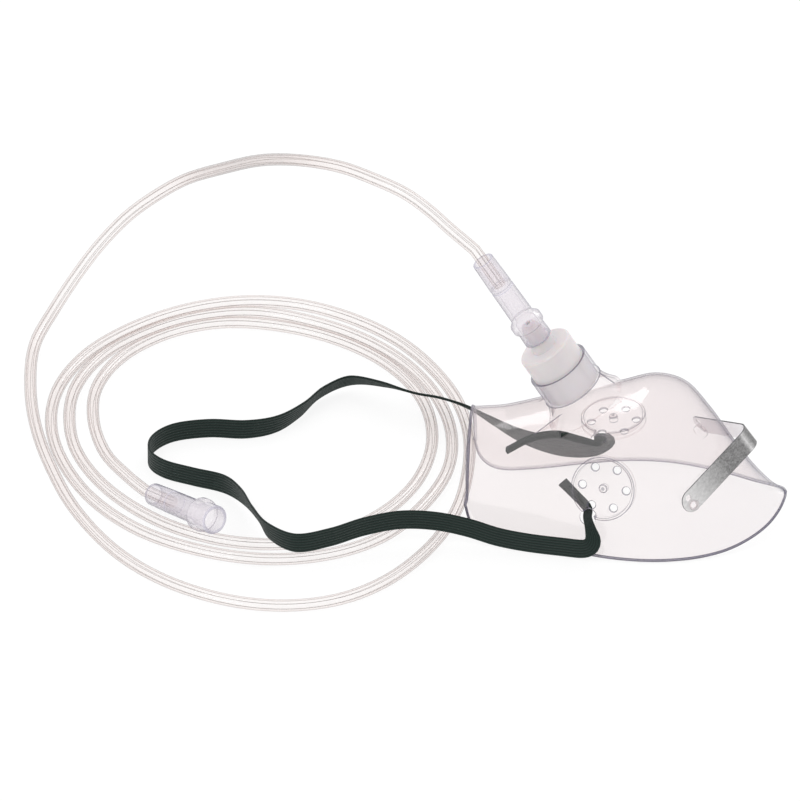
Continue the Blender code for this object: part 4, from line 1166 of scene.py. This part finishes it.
def make_clip(fitting):
    """Soft aluminium band bent over the nose ridge, with round ends, a hole at each stud and an eye beside it."""
    point, _ = cheek_surface(STUD_ALONG, STUD_HEIGHT, 1)
    middle = point.dot(CLIP_WIDTH_AXIS) - CLIP_SHIFT
    radius, thick, soft = fitting.clip_width / 2, fitting.clip_thickness, CLIP_SOFT_EDGE
    points = np.array(clip_path())
    run = run_along(points)
    round_end = [radius * (1 - math.cos(math.radians(turn))) for turn in range(4, 91, 6)]
    flats = list(np.linspace(round_end[-1] + MM, run[1] - MM, 6)) + list(run[1:-1])
    flats += list(np.linspace(run[-2] + MM, run[-1] - round_end[-1] - MM, 6))
    stations = round_end + flats + [run[-1] - s for s in round_end[::-1]]

    def at(s):
        return np.array([np.interp(s, run, column) for column in points.T])

    bm = bmesh.new()
    rings, rings_of = [], {}
    for s in stations:
        end = min(s, run[-1] - s)
        half = math.sqrt(max(radius**2 - max(radius - end, 0.0) ** 2, 0.0))
        ahead = at(s + 0.5 * MM) - at(s - 0.5 * MM)
        normal = np.array([-ahead[1], ahead[0]]) / np.linalg.norm(ahead)
        ring = []
        for spot, (width, rise) in enumerate((
                (-half + soft, 0), (half - soft, 0), (half, soft), (half, thick - soft), (half - soft, thick),
                (-half + soft, thick), (-half, thick - soft), (-half, soft))):
            cross, up = at(s) + normal * rise
            place = Vector((0.0, cross, 0.0)) + CLIP_RISE_AXIS * up
            ring.append(bm.verts.new(place + CLIP_WIDTH_AXIS * (middle + width)))
            rings_of[ring[-1]] = spot
        rings.append(ring)
    close_sweep(bm, rings)
    for face in bm.faces:
        spots = {rings_of[vert] for vert in face.verts}
        # The underside takes the painted reflection, the sides and ends the painted shade of the edge finish
        face.material_index = 1 if spots == {0, 1} else 0 if spots == {4, 5} else 2
    band = add_object("clip_blank", mesh_from("clip_blank", bm), clip_finish(fitting), clip_underside_finish(),
                      clip_edge_finish())
    holes = []
    for side in (-1, 1):
        eye = stud_frame(side) @ Matrix.Translation((0.0, -CLIP_EYE_PITCH, 0.0))
        for bore, place in ((STUD_DIAMETER / 2 + FIT_GAP, stud_frame(side)), (CLIP_EYE_DIAMETER / 2, eye)):
            hole = cylinder(bore, -fitting.clip_width, fitting.clip_width, SMALL_ROUND_SIDES)
            holes.append(put(hole, place))
    cutter = add_object("clip_holes", mesh_from("clip_holes", joined(holes)))
    return applied(band, "clip_band", boolean(band, cutter, "DIFFERENCE"), angle=40)


def tube_line():
    """Centre line of the tube, from the bottom of one connector's socket to the bottom of the other's."""
    inserted = TUBE_SOCKET_DEPTH - FIT_GAP
    lead = Vector((0.0, 0.0, CONNECTOR_LENGTH + TUBE_LEAD))
    route = [inlet_frame() @ lead] + [Vector(point) * MM for point in TUBE_ROUTE] + [outlet_frame() @ lead]
    dense = smooth_rows([tuple(point) for point in route], TUBE_STEPS)
    seat = Vector((0.0, 0.0, CONNECTOR_LENGTH - inserted))
    return np.vstack([inlet_frame() @ seat, dense, outlet_frame() @ seat])


def line_curve(name, points, radius):
    curve = bpy.data.curves.new(name, "CURVE")
    curve.dimensions = "3D"
    curve.bevel_depth = radius
    curve.bevel_resolution = 6
    curve.use_fill_caps = radius > 0.0
    spline = curve.splines.new("POLY")
    spline.points.add(len(points) - 1)
    for target, point in zip(spline.points, points):
        target.co = (*point, 1.0)
    spline.use_smooth = True
    return curve


def bore_lines(tree, entry):
    """Profile of the bore: a small round at each point of the star, which the sweep draws out into a line."""
    circle = "GeometryNodeCurvePrimitiveCircle"
    star = wired(tree, circle, {"Radius": entry["Reach"], "Resolution": entry["Points"]})
    dot = wired(tree, circle, {"Radius": entry["Line"], "Resolution": BORE_LINE_SIDES})
    spread = wired(tree, "GeometryNodeInstanceOnPoints", {"Points": star, "Instance": dot})
    return wired(tree, "GeometryNodeRealizeInstances", {"Geometry": spread})


def make_bore(tube, line):
    settings = {"Reach": ("NodeSocketFloat", tube.lumen_reach), "Line": ("NodeSocketFloat", tube.lumen_line),
                "Points": ("NodeSocketInt", tube.lumen_points)}
    return sweep("tube_bore", line, bore_lines, settings, lumen_finish(), 75)


def make_strap(strap):
    """Flat ribbed elastic band, pinched where it is threaded through each cheek."""
    rows = evenly_spaced(smooth_rows(STRAP_ROUTE, 8), STRAP_STATIONS)
    centres = [Vector(row[:3]) * MM for row in rows]
    across = np.linspace(-1.0, 1.0, 8 * strap.ribs + 1)
    phase = across * math.pi * strap.ribs / 2 + (strap.ribs % 2 - 1) * math.pi / 2
    ribs = 0.80 + 0.20 * np.abs(np.cos(phase))
    past = np.clip((np.abs(across) - 1.0 + STRAP_ROUNDED_SHARE) / STRAP_ROUNDED_SHARE, 0, 1)
    depth = ribs * np.sqrt(np.clip(1.0 - past**2, 0.05, 1.0))
    bm = bmesh.new()
    uv_layer = bm.loops.layers.uv.new("UVMap")
    rings, runs = [], [0.0]
    for k, row in enumerate(rows):
        if k:
            runs.append(runs[-1] + (centres[k] - centres[k - 1]).length)
        tangent = (centres[min(k + 1, len(rows) - 1)] - centres[max(k - 1, 0)]).normalized()
        heading, lift = math.radians(row[3]), math.radians(row[4])
        face = Vector((math.cos(heading) * math.cos(lift), math.sin(heading) * math.cos(lift), math.sin(lift)))
        face = (face - tangent * face.dot(tangent)).normalized()
        pinch = min(max(row[5], 0.0), 1.0)
        wide = face.cross(tangent) * (strap.width + (STRAP_PINCH_WIDTH - strap.width) * pinch) / 2
        thick = face * (strap.thickness + (STRAP_PINCH_THICKNESS - strap.thickness) * pinch) / 2
        outer = [centres[k] + wide * u + thick * d for u, d in zip(across, depth)]
        inner = [centres[k] + wide * u - thick * d for u, d in zip(across[::-1], depth[::-1])]
        rings.append([bm.verts.new(point) for point in outer + inner])
    share = list((across + 1) / 2) + list((across[::-1] + 1) / 2)
    for a in range(len(rings) - 1):
        for k in range(len(share)):
            m = (k + 1) % len(share)
            spots = ((a, k), (a, m), (a + 1, m), (a + 1, k))
            face = bm.faces.new([rings[ring][place] for ring, place in spots])
            for loop, (ring, place) in zip(face.loops, spots):
                loop[uv_layer].uv = (runs[ring], share[place])
    for ring in (rings[0][::-1], rings[-1]):
        for loop in bm.faces.new(ring).loops:
            loop[uv_layer].uv = (0.0, 0.5)
    bmesh.ops.recalc_face_normals(bm, faces=bm.faces)
    piece = add_object("strap_band", mesh_from("strap_band", bm, 60), strap_finish(strap))
    return piece, [tuple(centre) for centre in centres[::4]] + [tuple(centres[-1])], runs[-1]


def build_stage(stage):
    """Floor, even white light, two soft lamps and the camera of the photograph."""
    scene = bpy.context.scene
    scene.view_settings.view_transform = "Standard"
    scene.cycles.transparent_max_bounces = 40
    world = bpy.data.worlds.new("white_sky")
    world.use_nodes = True
    sky = world.node_tree.nodes["Background"]
    sky.inputs["Color"].default_value = (1.0, 1.0, 1.0, 1.0)
    sky.inputs["Strength"].default_value = stage.sky
    scene.world = world
    bm = bmesh.new()
    bmesh.ops.create_grid(bm, x_segments=4, y_segments=4, size=FLOOR_REACH)
    floor = add_object("floor", mesh_from("floor", bm), floor_finish(stage))
    for name, (place, share, size) in LAMPS.items():
        light = bpy.data.lights.new(name, "AREA")
        light.energy = stage.lamp * share
        light.size = size
        lamp = add_object(name, light)
        lamp.location = place
        lamp.rotation_euler = (LAMP_AIM - Vector(place)).to_track_quat("-Z", "Y").to_euler()
    right = Vector((math.cos(VIEW_AZIMUTH), math.sin(VIEW_AZIMUTH), 0.0))
    up = Vector((-math.sin(VIEW_AZIMUTH) * math.sin(VIEW_ELEVATION),
                 math.cos(VIEW_AZIMUTH) * math.sin(VIEW_ELEVATION), math.cos(VIEW_ELEVATION)))
    back = right.cross(up)
    data = bpy.data.cameras.new("camera")
    data.sensor_fit = "HORIZONTAL"
    data.sensor_width = SENSOR_WIDTH
    data.lens = SENSOR_WIDTH * stage.camera_distance / stage.view_width
    data.clip_end = 60.0
    camera = add_object("camera", data)
    camera.location = right * VIEW_RIGHT + up * VIEW_UP + VIEW_ORIGIN + back * stage.camera_distance
    camera.rotation_euler = back.to_track_quat("Z", "Y").to_euler()
    scene.camera = camera


# Operators, one for each piece or group and one for the stage

class Builder:
    """What the operators share: each builds from the scene's settings."""

    def execute(self, context):
        self.build(context.scene)
        return {"FINISHED"}


class MASK_OT_stage(Builder, bpy.types.Operator):
    """Set the floor, the light and the camera"""
    bl_idname = "face_mask.stage"
    bl_label = "Stage"

    def build(self, scene):
        build_stage(scene.mask_stage)


class MASK_OT_connectors(Builder, bpy.types.Operator):
    """Build the two clear tubing connectors"""
    bl_idname = "face_mask.connectors"
    bl_label = "Connectors"

    def build(self, scene):
        fittings = scene.mask_fittings
        finishes = (connector_finish(fittings), connector_inside_finish(fittings), connector_lip_finish())
        for name, place, node in (("inlet_sleeve", inlet_frame(), "inlet_connector"),
                                  ("outlet_sleeve", outlet_frame(), "outlet_connector")):
            piece = make_connector(name, place, finishes)
            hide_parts(node)
            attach(piece, "root")


class MASK_OT_supply_tube(Builder, bpy.types.Operator):
    """Build the supply tube with its star-shaped bore"""
    bl_idname = "face_mask.supply_tube"
    bl_label = "Supply Tube"

    def build(self, scene):
        tube = scene.mask_tube
        line = tube_line()
        piece = add_object("supply_line", line_curve("supply_line", line, tube.diameter / 2), tube_finish(tube))
        bore = make_bore(tube, line)
        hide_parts("supply_tube", "tube_coil", "tube_tail")
        for part in (piece, bore):
            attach(part, "root")


class MASK_OT_strap(Builder, bpy.types.Operator):
    """Build the ribbed elastic strap"""
    bl_idname = "face_mask.strap"
    bl_label = "Elastic Strap"

    def build(self, scene):
        strap = scene.mask_strap
        piece, path, length = make_strap(strap)
        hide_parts("elastic_strap")
        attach(piece, "root")


class MASK_OT_film_shell(Builder, bpy.types.Operator):
    """Build the clear film shell with its port, webs, discs, studs and rim bead"""
    bl_idname = "face_mask.film_shell"
    bl_label = "Film Shell"

    def build(self, scene):
        piece = make_film_shell(scene.mask_film)
        if len(piece.data.polygons) < 5000:
            raise RuntimeError("the film shell lost most of its faces")
        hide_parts("mask_shell")
        for part in (piece, make_rim_bead(scene.mask_film)):
            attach(part, "root")


class MASK_OT_port_adapter(Builder, bpy.types.Operator):
    """Build the milky adapter that plugs the port"""
    bl_idname = "face_mask.port_adapter"
    bl_label = "Port Adapter"

    def build(self, scene):
        piece = make_adapter(scene.mask_fittings)
        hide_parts("port_adapter")
        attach(piece, "root")


class MASK_OT_nose_clip(Builder, bpy.types.Operator):
    """Build the bent aluminium nose clip"""
    bl_idname = "face_mask.nose_clip"
    bl_label = "Nose Clip"

    def build(self, scene):
        piece = make_clip(scene.mask_fittings)
        if len(piece.data.polygons) < 100:
            raise RuntimeError("the nose clip lost most of its faces")
        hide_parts("nose_clip")
        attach(piece, "root")


class MASK_PT_panel(bpy.types.Panel):
    """Buttons and settings of the face mask"""
    bl_idname = "MASK_PT_panel"
    bl_label = "Face Mask"
    bl_space_type = "VIEW_3D"
    bl_region_type = "UI"
    bl_category = "Face Mask"

    def draw(self, context):
        for group, (_, *operators) in GROUPS.items():
            box = self.layout.box()
            settings = getattr(context.scene, group)
            for name in settings.__annotations__:
                box.prop(settings, name)
            for operator in operators:
                box.operator(operator.bl_idname)


# Each group of settings by its name on the scene, with the operators that read it
GROUPS = {
    "mask_stage": (StageSettings, MASK_OT_stage),
    "mask_fittings": (FittingSettings, MASK_OT_connectors, MASK_OT_port_adapter, MASK_OT_nose_clip),
    "mask_tube": (TubeSettings, MASK_OT_supply_tube),
    "mask_strap": (StrapSettings, MASK_OT_strap),
    "mask_film": (FilmSettings, MASK_OT_film_shell),
}
CLASSES = [made for group in GROUPS.values() for made in group] + [MASK_PT_panel]


def register():
    for made in CLASSES:
        bpy.utils.register_class(made)
    for name, (settings, *_) in GROUPS.items():
        setattr(bpy.types.Scene, name, PointerProperty(type=settings))


def unregister():
    for name in GROUPS:
        delattr(bpy.types.Scene, name)
    for made in reversed(CLASSES):
        bpy.utils.unregister_class(made)


def main():
    register()
    bpy.ops.face_mask.stage()
    bpy.ops.face_mask.connectors()
    bpy.ops.face_mask.supply_tube()
    bpy.ops.face_mask.strap()
    bpy.ops.face_mask.film_shell()
    bpy.ops.face_mask.port_adapter()
    bpy.ops.face_mask.nose_clip()


if __name__ == "__main__":
    main()
